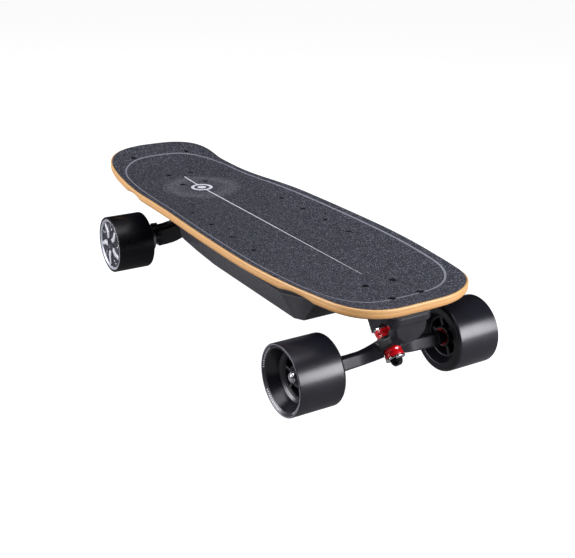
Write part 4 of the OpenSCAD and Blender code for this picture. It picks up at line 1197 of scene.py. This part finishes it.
dress_all(metal("motor_can", (0.16, 0.16, 0.18), 0.35, (0.1, 1, 0.1)), rear_left_can=0.4, rear_right_can=0.4)
dress_all(metal("magnet", (0.60, 0.60, 0.63), 0.2), rear_left_magnets=0.2, rear_right_magnets=0.2)
dress_all(metal("dark_bearing", (0.24, 0.24, 0.26), 0.3, (0.3, 1, 0.3)),
          rear_left_bearings=0.1, rear_right_bearings=0.1)


# --- Floor, lights and camera ---
def build_floor():
    """White paper, a little below the wheels so that it cuts no wheel when a truck is steered."""
    f = Finish("floor_paper", 0.9, 0, 0.1)
    seen = f.node("LightPath").outputs["Is Camera Ray"]
    f.colour(f.mix(f.noise(3, 2), (0.24, 0.24, 0.24), (0.26, 0.26, 0.26)))
    f.set("Emission Color", (1.0, 1.0, 1.0))
    f.set("Emission Strength", f.times(seen, 0.95))
    mesh = bpy.data.meshes.new("floor")
    half, low = 14, -0.04
    corners = [(-half, -half, low), (half, -half, low), (half, half, low), (-half, half, low)]
    mesh.from_pydata(corners, [], [(0, 1, 2, 3)])
    mesh.materials.append(f.material)
    add_object("floor", mesh)


def soft_light(name, direction, distance, size, power, aim):
    """A softbox, seen from the board in the given direction."""
    data = bpy.data.lights.new(name, "AREA")
    data.shape = "RECTANGLE"
    data.size, data.size_y = size
    data.energy = power
    data.color = (0.95, 0.95, 1.0)
    lamp = add_object(name, data)
    away = Vector(unit(direction))
    lamp.location = Vector(aim) + away * distance
    lamp.rotation_euler = away.to_track_quat("Z", "Y").to_euler()
    lamp.visible_camera = False


def build_world():
    """White to the camera, a dark room with a lighter ceiling to everything else."""
    world = bpy.data.worlds.new("studio")
    bpy.context.scene.world = world
    world.use_nodes = True
    new, link = world.node_tree.nodes.new, world.node_tree.links.new
    background = world.node_tree.nodes["Background"]
    background.inputs["Color"].default_value = (1, 1, 1, 1)
    split = new("ShaderNodeSeparateXYZ")
    link(new("ShaderNodeTexCoord").outputs["Generated"], split.inputs[0])
    room = new("ShaderNodeMapRange")
    for socket, value in zip(room.inputs, (0, 0.1, 1.0, 0.003, 0.030)):
        socket.default_value = value
    link(split.outputs["Z"], room.inputs[0])
    choose = new("ShaderNodeMix")
    choose.inputs[3].default_value = 1.0
    link(new("ShaderNodeLightPath").outputs["Is Camera Ray"], choose.inputs[0])
    link(room.outputs[0], choose.inputs[2])
    link(choose.outputs[0], background.inputs["Strength"])


def build_camera():
    """From ahead and the rider's right, a little above the board."""
    azimuth, elevation, roll = (math.radians(a) for a in (58.44, 21.66, 0.63))
    turn = Matrix.Rotation(azimuth, 4, "Z") @ Matrix.Rotation(math.pi / 2 - elevation, 4, "X")
    data = bpy.data.cameras.new("camera")
    data.lens = 59.84
    data.sensor_width = 36
    camera = add_object("camera", data)
    place = Matrix.Translation((MID_X * MM + 1.1172, -0.6607, 0.5656))
    camera.matrix_world = place @ turn @ Matrix.Rotation(roll, 4, "Z")
    bpy.context.scene.camera = camera


build_floor()
build_world()
build_camera()
soft_light("front_softbox", (0.82, 0.50, 0.27), 1.15, (0.8, 0.55), 20, (0.25, 0, 0.08))
soft_light("top_softbox", (0.12, -0.2, 1), 1.9, (2.2, 1.6), 38, (0, 0, 0.1))
soft_light("side_softbox", (-0.35, -0.9, 0.25), 2.2, (1.6, 1.0), 62, (0, 0, 0.08))
bpy.context.scene.view_settings.view_transform = "Standard"
